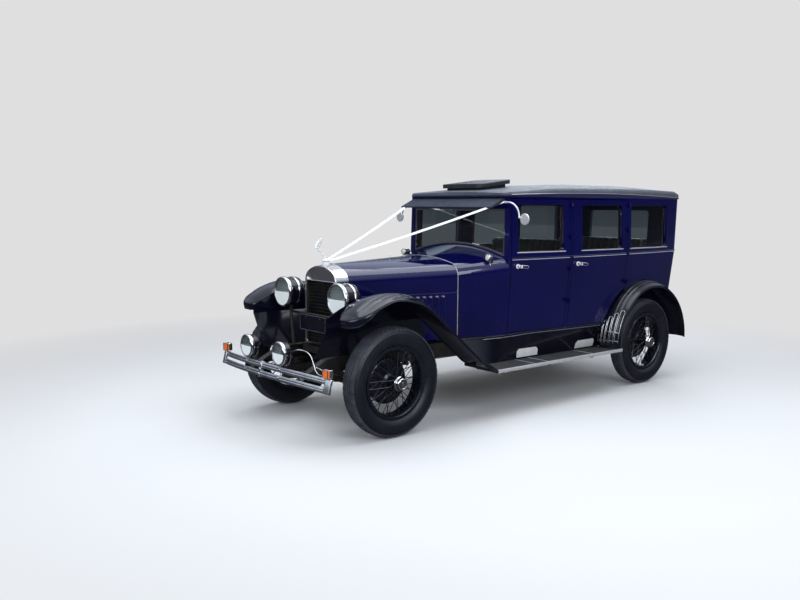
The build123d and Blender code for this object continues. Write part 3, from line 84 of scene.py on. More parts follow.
def station(x: float) -> float:
    """The frame's X, in metres, of a station in millimetres ahead of the front axle."""
    return AXLE_X + x * MM


class Tree:
    """A material's or a world's node tree, with short calls to add, set and join its nodes."""

    def __init__(self, owner: bpy.types.ID) -> None:
        """Starts the tree of a new material or world.

        Args:
            owner: the new material or world.
        """
        self.owner = owner
        owner.use_nodes = True
        self.nodes = owner.node_tree.nodes
        self.links = owner.node_tree.links
        self.shader = self.nodes.get("Principled BSDF")
        self.place = self.add("ShaderNodeTexCoord").outputs["Object"]

    def feed(self, socket: bpy.types.NodeSocket, value: object) -> None:
        """Joins an output to an input socket, or sets the input to a value.

        Args:
            socket: the input.
            value: an output, or a plain value.
        """
        if isinstance(value, bpy.types.NodeSocket):
            self.links.new(value, socket)
        else:
            socket.default_value = value

    def add(self, kind: str, **inputs: object) -> bpy.types.Node:
        """Adds a node; each keyword sets or joins the input socket of that name.

        Args:
            kind: the node's Blender type.
            inputs: socket names, with underscores for spaces, and values or output sockets.

        Returns:
            The new node.
        """
        node = self.nodes.new(kind)
        self.set(node, **inputs)
        return node

    def set(self, node: bpy.types.Node, **inputs: object) -> None:
        """Sets or joins input sockets of a node by their names."""
        for key, value in inputs.items():
            self.feed(node.inputs[key.replace("_", " ")], value)

    def math(self, operation: str, first: object, second: object = 0.0) -> bpy.types.NodeSocket:
        """A Math node's result for two numbers or sockets.

        Args:
            operation: Blender's name for it.
            first: a number or a socket.
            second: a number or a socket.

        Returns:
            The result's socket.
        """
        node = self.nodes.new("ShaderNodeMath")
        node.operation = operation
        for socket, value in zip(node.inputs, (first, second)):
            self.feed(socket, value)
        return node.outputs[0]

    def noise(self, scale: float, detail: float = 3.0, stretch: tuple = (1, 1, 1)) -> bpy.types.NodeSocket:
        """A noise value over the piece, from 0 to 1.

        Args:
            scale: cells to the metre.
            detail: octaves.
            stretch: factors along the three axes.

        Returns:
            The noise node's value.
        """
        moved = self.add("ShaderNodeMapping", Vector=self.place, Scale=stretch)
        return self.add("ShaderNodeTexNoise", Vector=moved.outputs[0], Scale=scale, Detail=detail).outputs[0]

    def spread(self, value: bpy.types.NodeSocket, low: float, high: float,
               start: float = 0.0, end: float = 1.0) -> bpy.types.NodeSocket:
        """A value that runs from start to end, stretched to run from low to high and held there."""
        ends = {"From_Min": start, "From_Max": end, "To_Min": low, "To_Max": high}
        return self.add("ShaderNodeMapRange", Value=value, **ends).outputs[0]

    def mix(self, share: object, first: object, second: object) -> bpy.types.NodeSocket:
        """Two colours or colour sockets mixed by a share.

        Args:
            share: how much is of the second.
            first: a colour or a socket.
            second: a colour or a socket.

        Returns:
            The mixed colour's socket.
        """
        node = self.nodes.new("ShaderNodeMix")
        node.data_type = "RGBA"
        for index, value in ((0, share), (6, first), (7, second)):
            self.feed(node.inputs[index], (*value, 1.0) if isinstance(value, tuple) else value)
        return node.outputs[2]

    def choose(self, share: bpy.types.NodeSocket, first: bpy.types.NodeSocket,
               second: bpy.types.NodeSocket) -> bpy.types.NodeSocket:
        """Two shaders mixed by a share.

        Args:
            share: how much is of the second.
            first: a shader's socket.
            second: a shader's socket.

        Returns:
            The mixed shader's socket.
        """
        node = self.nodes.new("ShaderNodeMixShader")
        for socket, value in zip(node.inputs, (share, first, second)):
            self.feed(socket, value)
        return node.outputs[0]

    def bump(self, height: bpy.types.NodeSocket, depth: float, strength: float = 1.0) -> None:
        """Joins a height to the shader's normal, as a bump of that depth in metres."""
        node = self.add("ShaderNodeBump", Height=height, Strength=strength, Distance=depth)
        self.set(self.shader, Normal=node.outputs[0])


@dataclass(frozen=True)
class Finish:
    """A surface finish: colours, gloss and the grain of one material of the car."""

    name: str
    colour: tuple[float, float, float]
    second: tuple[float, float, float]
    rough: tuple[float, float]
    mottle: float = 3.0
    metallic: float = 0.0
    coat: float = 0.0
    specular: float = 0.5
    grain: float = 0.0
    grain_scale: float = 400.0
    sheen: float = 0.0
    dust: float = 0.0
    dust_top: float = 0.9

    def build(self) -> bpy.types.Material:
        """Makes the material: a mottled colour, uneven gloss, a fine grain and dust low down.

        Returns:
            The finished material.
        """
        tree = Tree(bpy.data.materials.new(self.name))
        cloud = tree.noise(self.mottle)
        colour = tree.mix(tree.spread(cloud, 0, 1, 0.35, 0.7), self.colour, self.second)
        rough = tree.spread(tree.noise(self.mottle * 6), *self.rough, 0.3, 0.7)
        if self.dust:
            height = tree.add("ShaderNodeSeparateXYZ", Vector=tree.place).outputs[2]
            low = tree.spread(height, self.dust, 0, 0.1, self.dust_top)
            share = tree.math("MULTIPLY", low, tree.spread(tree.noise(14, 6), 0.2, 1, 0.35, 0.75))
            colour = tree.mix(share, colour, (0.16, 0.14, 0.12))
            rough = tree.math("ADD", rough, tree.math("MULTIPLY", share, 0.5))
        tree.set(tree.shader, Base_Color=colour, Roughness=rough, Metallic=self.metallic,
                 Specular_IOR_Level=self.specular, Coat_Weight=self.coat, Coat_Roughness=0.03,
                 Sheen_Weight=self.sheen)
        if self.grain:
            tree.bump(self.height(tree), self.grain)
        self.alter(tree, colour, rough)
        return tree.owner

    def alter(self, tree: Tree, colour: bpy.types.NodeSocket, rough: bpy.types.NodeSocket) -> None:
        """A kind of finish may change the plain one here."""

    def height(self, tree: Tree) -> bpy.types.NodeSocket:
        """The grain's height; a plain fine noise unless a kind of finish says otherwise."""
        return tree.noise(self.grain_scale, 2)


@dataclass(frozen=True)
class Hide(Finish):
    """Leather or leather cloth, with a pebbled grain of small cells."""

    def height(self, tree: Tree) -> bpy.types.NodeSocket:
        """Rounded cells, whose edges sink.

        Args:
            tree: the material's nodes.

        Returns:
            The height's socket.
        """
        cells = tree.add("ShaderNodeTexVoronoi", Vector=tree.place, Scale=self.grain_scale)
        cells.feature = "DISTANCE_TO_EDGE"
        return tree.spread(cells.outputs[0], 0, 1, 0, 0.12)


@dataclass(frozen=True)
class RoofCloth(Hide):
    """The roof's cloth, and the body's blue enamel below the curve where the cloth ends."""

    enamel: tuple[float, float, float] = (0.005, 0.0045, 0.062)
    enamel_smoother: float = 0.38

    def alter(self, tree: Tree, colour: bpy.types.NodeSocket, rough: bpy.types.NodeSocket) -> None:
        """Mixes in the enamel under a parabola whose crest is over the rear door.

        Args:
            tree: the material's nodes.
            colour: the cloth's colour.
            rough: the cloth's roughness.
        """
        x, _, z = tree.add("ShaderNodeSeparateXYZ", Vector=tree.place).outputs
        away = tree.math("SUBTRACT", x, station(ROOF_CREST_X))
        drop = tree.math("MULTIPLY", tree.math("MULTIPLY", away, away), ROOF_FALL / MM)
        below = tree.math("LESS_THAN", z, tree.math("SUBTRACT", ROOF_CREST * MM, drop))
        smoother = tree.math("MULTIPLY", below, self.enamel_smoother)
        tree.set(tree.shader, Base_Color=tree.mix(below, colour, self.enamel),
                 Roughness=tree.math("SUBTRACT", rough, smoother), Coat_Weight=below)


@dataclass(frozen=True)
class Timber(Finish):
    """Varnished wood, its rings stretched along X."""

    def height(self, tree: Tree) -> bpy.types.NodeSocket:
        """Long thin fibres."""
        return tree.noise(self.grain_scale, 4, (0.04, 1, 1))


@dataclass(frozen=True)
class Pane:
    """Clear glass with a faint tint; a lamp's lens is fluted, and frosted between two heights in metres, with a
    faint painted glow there.
    """

    name: str
    tint: tuple[float, float, float]
    flutes: float = 0.0
    frosted: tuple[float, float] | None = None
    frost_rough: float = 0.4
    frost_clear: float = 0.12
    frost_glow: float = 0.06
    flute_depth: float = 0.001

    def build(self) -> bpy.types.Material:
        """Makes the glass, with its flutes and frost where it has them; the frost carries a faint white emission,
        a painted glow.

        Returns:
            The finished material.
        """
        tree = Tree(bpy.data.materials.new(self.name))
        smear = tree.spread(tree.noise(5), 0.0, 0.04, 0.4, 0.8)
        tree.set(tree.shader, Base_Color=(*self.tint, 1.0), Roughness=smear, Transmission_Weight=1.0,
                 IOR=1.45)
        if self.frosted:
            low, high = self.frosted
            height = tree.add("ShaderNodeSeparateXYZ", Vector=tree.place).outputs[2]
            above, below = tree.math("GREATER_THAN", height, low), tree.math("LESS_THAN", height, high)
            share = tree.math("MULTIPLY", above, below)
            # a faint white emission over the frosted band: a painted glow, since the lamp is not lit
            painted_glow = tree.math("MULTIPLY", share, self.frost_glow)
            tree.set(tree.shader, Roughness=tree.spread(share, 0.02, self.frost_rough),
                     Transmission_Weight=tree.spread(share, 1.0, self.frost_clear),
                     Emission_Color=(1, 1, 1, 1), Emission_Strength=painted_glow)
        if self.flutes:
            waves = tree.add("ShaderNodeTexWave", Vector=tree.place, Scale=self.flutes)
            waves.bands_direction = "Y"
            tree.bump(waves.outputs[1], self.flute_depth, 0.6)
        return tree.owner


class Finishes:
    """Every material of the car, made once."""

    def __init__(self) -> None:
        """Makes the materials."""
        recipes = (
            Finish("blue_enamel", (0.0022, 0.0025, 0.050), (0.0034, 0.0037, 0.064), (0.06, 0.12), coat=0.8,
                   specular=0.3, grain=0.00001, grain_scale=70, dust=0.03),
            Finish("black_enamel", (0.0022, 0.0025, 0.0085), (0.0040, 0.0044, 0.0130), (0.12, 0.22), coat=0.2,
                   specular=0.3, grain=0.00001, grain_scale=110, dust=0.06),
            Finish("chassis_black", (0.006, 0.006, 0.007), (0.018, 0.016, 0.015), (0.35, 0.6), mottle=9,
                   grain=0.0003, grain_scale=240, dust=0.25, dust_top=0.8),
            Finish("engine_iron", (0.09, 0.10, 0.10), (0.05, 0.05, 0.05), (0.4, 0.65), mottle=12,
                   grain=0.0005, grain_scale=200),
            Finish("exhaust_steel", (0.16, 0.13, 0.11), (0.28, 0.20, 0.15), (0.4, 0.7), mottle=9,
                   metallic=0.8, grain=0.0003, grain_scale=300),
            Finish("bright_nickel", (0.74, 0.73, 0.71), (0.66, 0.65, 0.63), (0.06, 0.16), mottle=7,
                   metallic=1.0, grain=0.00002, grain_scale=60),
            Finish("dull_nickel", (0.52, 0.51, 0.49), (0.40, 0.39, 0.38), (0.2, 0.36), mottle=12,
                   metallic=1.0, grain=0.00006, grain_scale=300),
            Finish("tyre_rubber", (0.028, 0.028, 0.030), (0.052, 0.050, 0.048), (0.55, 0.8), mottle=8,
                   grain=0.0002, grain_scale=500, dust=0.3),
            Finish("mat_rubber", (0.010, 0.010, 0.013), (0.022, 0.022, 0.025), (0.55, 0.8), mottle=9,
                   grain=0.0002, grain_scale=600, dust=0.1, dust_top=0.6),
            RoofCloth("roof_cloth", (0.055, 0.064, 0.085), (0.085, 0.095, 0.12), (0.42, 0.6), mottle=3,
                      sheen=0.1, grain=0.0004, grain_scale=480),
            Hide("visor_cloth", (0.012, 0.017, 0.033), (0.020, 0.027, 0.046), (0.55, 0.7), mottle=4,
                 specular=0.3, grain=0.0003, grain_scale=600),
            Hide("hatch_cloth", (0.010, 0.012, 0.018), (0.018, 0.021, 0.030), (0.4, 0.6), mottle=5,
                 grain=0.0003, grain_scale=600),
            Hide("seat_hide", (0.030, 0.024, 0.021), (0.050, 0.038, 0.032), (0.32, 0.5), mottle=6,
                 grain=0.0005, grain_scale=420),
            Timber("floor_boards", (0.10, 0.075, 0.055), (0.06, 0.045, 0.035), (0.6, 0.8), grain=0.0004,
                   grain_scale=300),
            Timber("walnut", (0.10, 0.035, 0.02), (0.055, 0.02, 0.012), (0.2, 0.35), mottle=14, coat=0.5,
                   grain=0.0001, grain_scale=260),
            Finish("amber_plastic", (0.80, 0.14, 0.02), (0.9, 0.2, 0.03), (0.2, 0.3), coat=0.3,
                   grain=0.0002, grain_scale=900),
            Finish("wheel_horn", (0.02, 0.02, 0.021), (0.03, 0.03, 0.03), (0.2, 0.3), coat=0.4,
                   grain=0.00005, grain_scale=200),
            Finish("tread_rubber", (0.026, 0.029, 0.042), (0.052, 0.055, 0.068), (0.6, 0.85), mottle=12,
                   grain=0.0003, grain_scale=700),
            Finish("side_rubber", (0.0055, 0.0062, 0.012), (0.011, 0.012, 0.018), (0.34, 0.5), mottle=7,
                   grain=0.0001, grain_scale=500),
            Finish("wheel_enamel", (0.004, 0.0046, 0.010), (0.008, 0.009, 0.016), (0.18, 0.34), coat=0.4,
                   grain=0.00005, grain_scale=160),
            Finish("aluminium", (0.62, 0.63, 0.65), (0.46, 0.47, 0.49), (0.24, 0.42), mottle=16, metallic=1.0,
                   grain=0.0001, grain_scale=240),
            Finish("bright_steel", (0.82, 0.82, 0.82), (0.72, 0.72, 0.73), (0.3, 0.45), mottle=16,
                   metallic=0.6, grain=0.0001, grain_scale=240),
            # near-white and barely metallic: bright metal whose shine is a painted highlight in its colour
            Finish("white_painted_highlight", (0.93, 0.93, 0.93), (0.86, 0.86, 0.87), (0.25, 0.4), mottle=16,
                   metallic=0.15, coat=0.3, grain=0.00005, grain_scale=240),
            Finish("reflector_silver", (0.92, 0.92, 0.90), (0.88, 0.88, 0.87), (0.04, 0.08), metallic=1.0),
            Finish("bulb_glass", (0.8, 0.8, 0.76), (0.7, 0.7, 0.66), (0.1, 0.2), coat=0.5),
            Finish("satin", (0.80, 0.80, 0.79), (0.88, 0.88, 0.86), (0.28, 0.42), mottle=20, sheen=0.6,
                   grain=0.0001, grain_scale=900),
            Timber("garnish", (0.13, 0.035, 0.02), (0.08, 0.022, 0.014), (0.25, 0.4), mottle=10, coat=0.3,
                   grain=0.0001, grain_scale=240),
            Pane("headlamp_lens", (0.84, 0.91, 0.93), flutes=34, frosted=(0.914, 1.04)),
            Pane("driving_lens", (0.84, 0.91, 0.93), flutes=44, frosted=(0.557, 0.649)),
            Pane("window_pane", (0.88, 0.95, 0.92)),
            Pane("lamp_pane", (0.97, 0.98, 0.97), flutes=30),
        )
        self.made = {recipe.name: recipe.build() for recipe in recipes}

    def __getitem__(self, name: str) -> bpy.types.Material:
        """The material of that name."""
        return self.made[name]


# the finish of each material slot in the frame, and of the nodes that differ from their slot
NODE_FINISHES = {
    "black_iron": "chassis_black", "engine_iron": "engine_iron", "exhaust_steel": "exhaust_steel",
    "nickel": "bright_nickel", "blue_paint": "blue_enamel", "black_paint": "black_enamel",
    "lamp_black": "black_enamel", "wheel_black": "black_enamel", "plate_black": "black_enamel",
    "floor_wood": "floor_boards", "dash_wood": "walnut", "roof_fabric": "roof_cloth",
    "wheel_rim": "wheel_horn", "seat_leather": "seat_hide", "window_glass": "window_pane",
    "lens_glass": "lamp_pane",
    "board_rubber": "mat_rubber", "indicator_orange": "amber_plastic", "tyre": "tyre_rubber",
}
OWN_FINISHES = {
    # the step plates take the near-white finish whose shine is a painted highlight
    "roof_hatch": "hatch_cloth", "sun_visor": "visor_cloth", "step_plates": "white_painted_highlight",
    "mirrors": "bright_steel",
}

# a shape with the name of its finish
Placed = tuple["Shape", str]


def unit(vectors: np.ndarray) -> np.ndarray:
    """Vectors of length one along the last axis."""
    return vectors / np.linalg.norm(vectors, axis=-1, keepdims=True)


def ramp(value: np.ndarray, start: float, length: float) -> np.ndarray:
    """How far a value is past a start, in lengths, held between 0 and 1."""
    return np.clip((value - start) / length, 0, 1)


def hump(value: np.ndarray, middle: float, width: float) -> np.ndarray:
    """A bell curve: 1 at its middle, and e to the minus one at its width from there."""
    return np.exp(-((value - middle) / width) ** 2)


def spots(radius: float, count: int) -> np.ndarray:
    """Points evenly round a circle, as pairs."""
    angle = np.arange(count) * 2 * math.pi / count
    return radius * np.stack([np.cos(angle), np.sin(angle)], -1)


def grid(x: object, y: object, z: object) -> np.ndarray:
    """Points from three coordinates, each a number or an array, over the grid that they span together."""
    return np.stack(np.broadcast_arrays(x, y, z), -1).astype(float)


def stood(outline: np.ndarray, x: float) -> np.ndarray:
    """An outline of (y, z) pairs, stood across the car at a station."""
    return grid(x, *outline.T)


def quads(index: np.ndarray) -> np.ndarray:
    """The four-cornered faces between neighbours of a grid of point numbers."""
    return np.stack([index[:-1, :-1], index[1:, :-1], index[1:, 1:], index[:-1, 1:]], -1).reshape(-1, 4)


@dataclass
class Shape:
    """Closed surfaces in millimetres: X ahead of the front axle, Y to the left, Z up.

    Each row of faces has four point numbers; a triangle repeats one of its corners.
    """

    points: np.ndarray
    faces: np.ndarray

    def __add__(self, other: "Shape") -> "Shape":
        """Both shapes as one, unfused."""
        return Shape(np.vstack([self.points, other.points]),
                     np.vstack([self.faces, other.faces + len(self.points)]))

    def mirrored(self) -> "Shape":
        """The shape on the other side of the car."""
        return Shape(self.points * (1, -1, 1), self.faces[:, ::-1])

    def both(self) -> "Shape":
        """The shape and its mirror image."""
        return self + self.mirrored()

    def moved(self, x: float = 0, y: float = 0, z: float = 0) -> "Shape":
        """The shape, shifted."""
        return Shape(self.points + (x, y, z), self.faces)

    def turned(self, axis: Axis, angle: float, centre: tuple = (0, 0, 0)) -> "Shape":
        """The shape, turned by an angle in degrees about an axis through a centre."""
        turn = np.array(Matrix.Rotation(math.radians(angle), 3, axis))
        return Shape((self.points - centre) @ turn.T + centre, self.faces)

    def closed(self) -> "Shape":
        """The shape with equal points joined, flat faces dropped and every face turned outward.

        Returns:
            The mended shape.
        """
        points, number = np.unique(self.points.round(4), axis=0, return_inverse=True)
        faces = number.reshape(-1)[self.faces]
        kept = (faces != np.roll(faces, -1, axis=1)).sum(axis=1) > 2
        split = (faces[:, 0] == faces[:, 2]) | (faces[:, 1] == faces[:, 3])
        faces = faces[kept & ~split]
        a, b, c, d = (points[faces[:, corner]] for corner in range(4))
        volume = (a * (np.cross(b, c) + np.cross(c, d))).sum()
        return Shape(points, faces if volume > 0 else faces[:, ::-1])


def joined(shapes: Iterable[Shape]) -> Shape:
    """Many shapes as one, unfused.

    Args:
        shapes: the shapes to join.

    Returns:
        The one shape.
    """
    shapes = list(shapes)
    firsts = np.cumsum([0] + [len(shape.points) for shape in shapes[:-1]])
    return Shape(np.vstack([shape.points for shape in shapes]),
                 np.vstack([shape.faces + first for shape, first in zip(shapes, firsts)]))


def loft(rings: np.ndarray, closed: bool = False) -> Shape:
    """A closed surface through rings of points.

    Args:
        rings: rings x points x 3. In an open loft a ring's first half lies over its second half, taken
            backward, and each end is closed by strips between them.
        closed: whether the last ring runs on into the first.

    Returns:
        The closed shape.
    """
    count, size = rings.shape[:2]
    index = np.arange(count * size).reshape(count, size)
    index = np.hstack([index, index[:, :1]])
    if closed:
        index = np.vstack([index, index[:1]])
    faces = [quads(index)]
    if not closed:
        half = size // 2
        for ring, way in ((index[0], 1), (index[-1], -1)):
            near, far = ring[:half], ring[half:size][::-1]
            faces.append(np.stack([near[:-1], near[1:], far[1:], far[:-1]], -1)[:, ::way])
    return Shape(rings.reshape(-1, 3), np.vstack(faces)).closed()


def slab(top: np.ndarray, under: np.ndarray) -> Shape:
    """A closed sheet between two grids of points of the same size."""
    return loft(np.concatenate([top, under[:, ::-1]], axis=1))


def lathe(profile: Sequence, axis: Axis, centre: tuple = (0, 0, 0), around: int = 48) -> Shape:
    """A closed profile turned about an axis: each point goes round a circle of its radius, evenly in angle.

    Args:
        profile: (along, radius) pairs.
        axis: the way the axis runs.
        centre: the point that it runs through, from which the profile is measured.
        around: points on each circle.

    Returns:
        The closed shape.
    """
    along, radius = np.array(profile, float).T
    angle = np.linspace(0, 2 * math.pi, around, endpoint=False)[:, None]
    first, second = radius * np.cos(angle), radius * np.sin(angle)
    orders = {Axis.AHEAD: (along, first, second), Axis.ACROSS: (second, along, first),
              Axis.UP: (second, -first, along)}
    return loft(grid(*orders[axis]) + centre, closed=True)


def dished(first: float, rim: float, count: int, middle: float, rise: float, thickness: float) -> np.ndarray:
    """The profile of a thin dish, for turning about X.

    Args:
        first: the radius at which it starts.
        rim: the radius at which it ends.
        count: points along each of its two faces.
        middle: its face's place on the axis.
        rise: how far a parabola from there brings its rim forward.
        thickness: how far its back lies behind its face.

    Returns:
        (along, radius) pairs, out along the face and in along the back.
    """
    radius = np.linspace(first, rim, count)
    face = np.stack([middle + rise * (radius / rim) ** 2, radius], -1)
    return np.vstack([face, face[::-1] - (thickness, 0)])


def ring(radius: float, count: int = 12, squash: float = 1.0) -> np.ndarray:
    """A circle, or an ellipse, as a profile of (across, up) pairs."""
    angle = (np.arange(count) + 0.5) * 2 * math.pi / count
    return np.stack([radius * np.cos(angle), radius * squash * np.sin(angle)], -1)


def rounded_ring(half_across: float, half_up: float, radius: float, steps: int = 4) -> np.ndarray:
    """A rectangle with round corners.

    Args:
        half_across: from its middle to a side.
        half_up: from its middle to its top.
        radius: its corners' radius.
        steps: straight pieces in each corner.

    Returns:
        Its outline as (across, up) pairs, from the right side round by the top.
    """
    turn = np.linspace(0, math.pi / 2, steps + 1)
    corners = []
    for quarter, (across, up) in enumerate(((1, 1), (-1, 1), (-1, -1), (1, -1))):
        angle = turn + quarter * math.pi / 2
        corners.append(np.stack([across * (half_across - radius) + radius * np.cos(angle),
                                 up * (half_up - radius) + radius * np.sin(angle)], -1))
    return np.vstack(corners)


def arched(half_width: float, top: float, shoulder: float, corner: float, counts: tuple[int, int],
           leg: Sequence) -> np.ndarray:
    """An arch from foot to foot, as (y, z) pairs: a long arc over the top, corner arcs and straight legs.

    Args:
        half_width: from the middle to a leg.
        top: its greatest height.
        shoulder: the height at which a corner arc runs into its leg.
        corner: the corner arcs' radius.
        counts: points on half the long arc and on a corner arc.
        leg: the heights of the points down a leg.

    Returns:
        The points, from the left foot to the right foot.
    """
    reach, rise = half_width - corner, top - shoulder
    big = (reach ** 2 + rise ** 2 - corner ** 2) / (2 * (rise - corner))
    turn = math.atan2(reach, shoulder - (top - big))
    crown, bend = np.linspace(0, turn, counts[0])[:-1], np.linspace(turn, math.pi / 2, counts[1])
    y = np.concatenate([big * np.sin(crown), reach + corner * np.sin(bend), np.full(len(leg), half_width)])
    z = np.concatenate([top - big + big * np.cos(crown), shoulder + corner * np.cos(bend), leg])
    half = np.stack([y, z], -1)
    return np.vstack([half[:0:-1], half * (-1, 1)])


def half_round(width: float, height: float, count: int = 10, let_in: float = 2) -> np.ndarray:
    """A moulding's profile: a half ellipse that stands on the line across = 0 and is let in behind it.

    Args:
        width: its size along the surface.
        height: how far it stands out.
        count: the number of points on its face.
        let_in: how far its back lies behind the surface.

    Returns:
        The profile as (across, up) pairs.
    """
    angle = np.linspace(math.pi / 2, -math.pi / 2, count)
    face = np.stack([height * np.cos(angle), width / 2 * np.sin(angle)], -1)
    back = face[::-1] * (0, 1) - (let_in, 0)
    return np.vstack([face, back])


def swept(path: np.ndarray, profile: np.ndarray, reference: Sequence = (0, 0, 1), closed: bool = False,
          scale: np.ndarray | None = None) -> Shape:
    """A profile carried along a path.

    The profile's first number runs along the path's direction crossed with the reference, its second
    along what is square to both, near the reference.

    Args:
        path: points of the path.
        profile: (across, up) pairs.
        reference: one direction, or one for each point.
        closed: whether the path is a loop.
        scale: the profile's size at each point.

    Returns:
        The closed shape.
    """
    path = np.asarray(path, float)
    ahead = np.roll(path, -1, 0) - np.roll(path, 1, 0) if closed else np.gradient(path, axis=0)
    ahead = unit(ahead)
    across = unit(np.cross(ahead, reference))
    up = np.cross(across, ahead)
    size = np.ones(len(path)) if scale is None else np.asarray(scale)
    sized = profile[None] * size[:, None, None]
    return loft(path[:, None] + sized[..., :1] * across[:, None] + sized[..., 1:] * up[:, None], closed)


def tube(path: Sequence, radius: float, around: int = 12, reference: Sequence = (0, 0, 1),
         closed: bool = False, scale: np.ndarray | None = None) -> Shape:
    """A round rod along a path."""
    return swept(np.asarray(path, float), ring(radius, around), reference, closed, scale)


def straight(start: Sequence, end: Sequence, radius: float, around: int = 12) -> Shape:
    """A round rod between two points.

    Args:
        start: one end.
        end: the other end.
        radius: the rod's radius.
        around: the number of its sides.

    Returns:
        The closed shape.
    """
    start, end = np.asarray(start, float), np.asarray(end, float)
    upright = abs(end - start)[2] > 0.9 * np.linalg.norm(end - start)
    return tube([start, end], radius, around, (1, 0, 0) if upright else (0, 0, 1))


def spline(points: Sequence, count: int) -> np.ndarray:
    """A smooth curve through points of two or three numbers.

    It is a cubic between each pair of neighbours, and its slope at a point is that of the line between the
    points on either side.

    Args:
        points: the points that it passes through.
        count: how many points it has itself.

    Returns:
        The curve's points.
    """
    points = np.asarray(points, float)
    padded = np.vstack([2 * points[:1] - points[1:2], points, 2 * points[-1:] - points[-2:-1]])
    share = np.linspace(0, len(points) - 1, count)
    start = np.minimum(share.astype(int), len(points) - 2)
    t = (share - start)[:, None]
    a, b, c, d = (padded[start + step] for step in range(4))
    square, cube = 2 * a - 5 * b + 4 * c - d, 3 * b - a - 3 * c + d
    return 0.5 * (2 * b + (c - a) * t + square * t ** 2 + cube * t ** 3)


def block(size: Sequence, edge: float, steps: int = 3) -> Shape:
    """A box with rounded edges, centred on the origin: rings that draw in on a quarter circle at each end.

    Args:
        size: its length, width and height.
        edge: its edges' radius.
        steps: straight pieces in each edge.

    Returns:
        The closed shape.
    """
    turn = np.linspace(0, math.pi / 2, steps + 1)
    inset = edge * (1 - np.sin(turn))
    along = -size[0] / 2 + edge * (1 - np.cos(turn))
    insets, places = np.concatenate([inset, inset[::-1]]), np.concatenate([along, -along[::-1]])
    rings = []
    for draw, place in zip(insets, places):
        outline = rounded_ring(size[1] / 2 - draw, size[2] / 2 - draw, max(edge - draw, 0.1))
        rings.append(stood(outline, place))
    return loft(np.array(rings))


class Workshop:
    """Turns shapes into finished pieces of the car."""

    def __init__(self, finishes: Finishes) -> None:
        """Keeps the finishes that pieces take."""
        self.finishes = finishes

    def piece(self, name: str, parts: Sequence[Placed], body: str = "chassis", replaces: Sequence[str] = (),
              sharp: float = 38.0) -> bpy.types.Object:
        """Makes one piece that rides on a body.

        Args:
            name: the piece's name.
            parts: closed shapes, each with the name of its finish.
            body: the body that carries it.
            replaces: CAD nodes that it stands in for.
            sharp: the angle in degrees above which an edge is shown sharp.

        Returns:
            The new object.
        """
        shape = joined(part for part, _ in parts)
        names = list(dict.fromkeys(finish for _, finish in parts))
        finish = np.repeat([names.index(own) for _, own in parts], [len(part.faces) for part, _ in parts])
        own = shape.faces != np.roll(shape.faces, -1, axis=1)
        four, three = own.all(axis=1), own.sum(axis=1) == 3
        triangles = shape.faces[three][own[three]].reshape(-1, 3)
        mesh = bpy.data.meshes.new(name)
        mesh.from_pydata((shape.points * MM + (AXLE_X, 0, 0)).tolist(), [],
                         shape.faces[four].tolist() + triangles.tolist())
        for own_name in names:
            mesh.materials.append(self.finishes[own_name])
        mesh.polygons.foreach_set("material_index", np.concatenate([finish[four], finish[three]]))
        mesh.shade_smooth()
        mesh.set_sharp_from_angle(angle=math.radians(sharp))
        obj = bpy.data.objects.new(name, mesh)
        bpy.context.scene.collection.objects.link(obj)
        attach(obj, body)
        if replaces:
            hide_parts(*replaces)
        log.info("%s: %d triangles on %s", name, 2 * four.sum() + three.sum(), body)
        return obj


@dataclass(frozen=True)
class SpokeRow:
    """The spokes from one flange of the hub: how many each way, their ends, and their leads in degrees."""

    count: int
    hub_radius: float
    hub_y: float
    rim_y: float
    hub_lead: float
    rim_lead: float


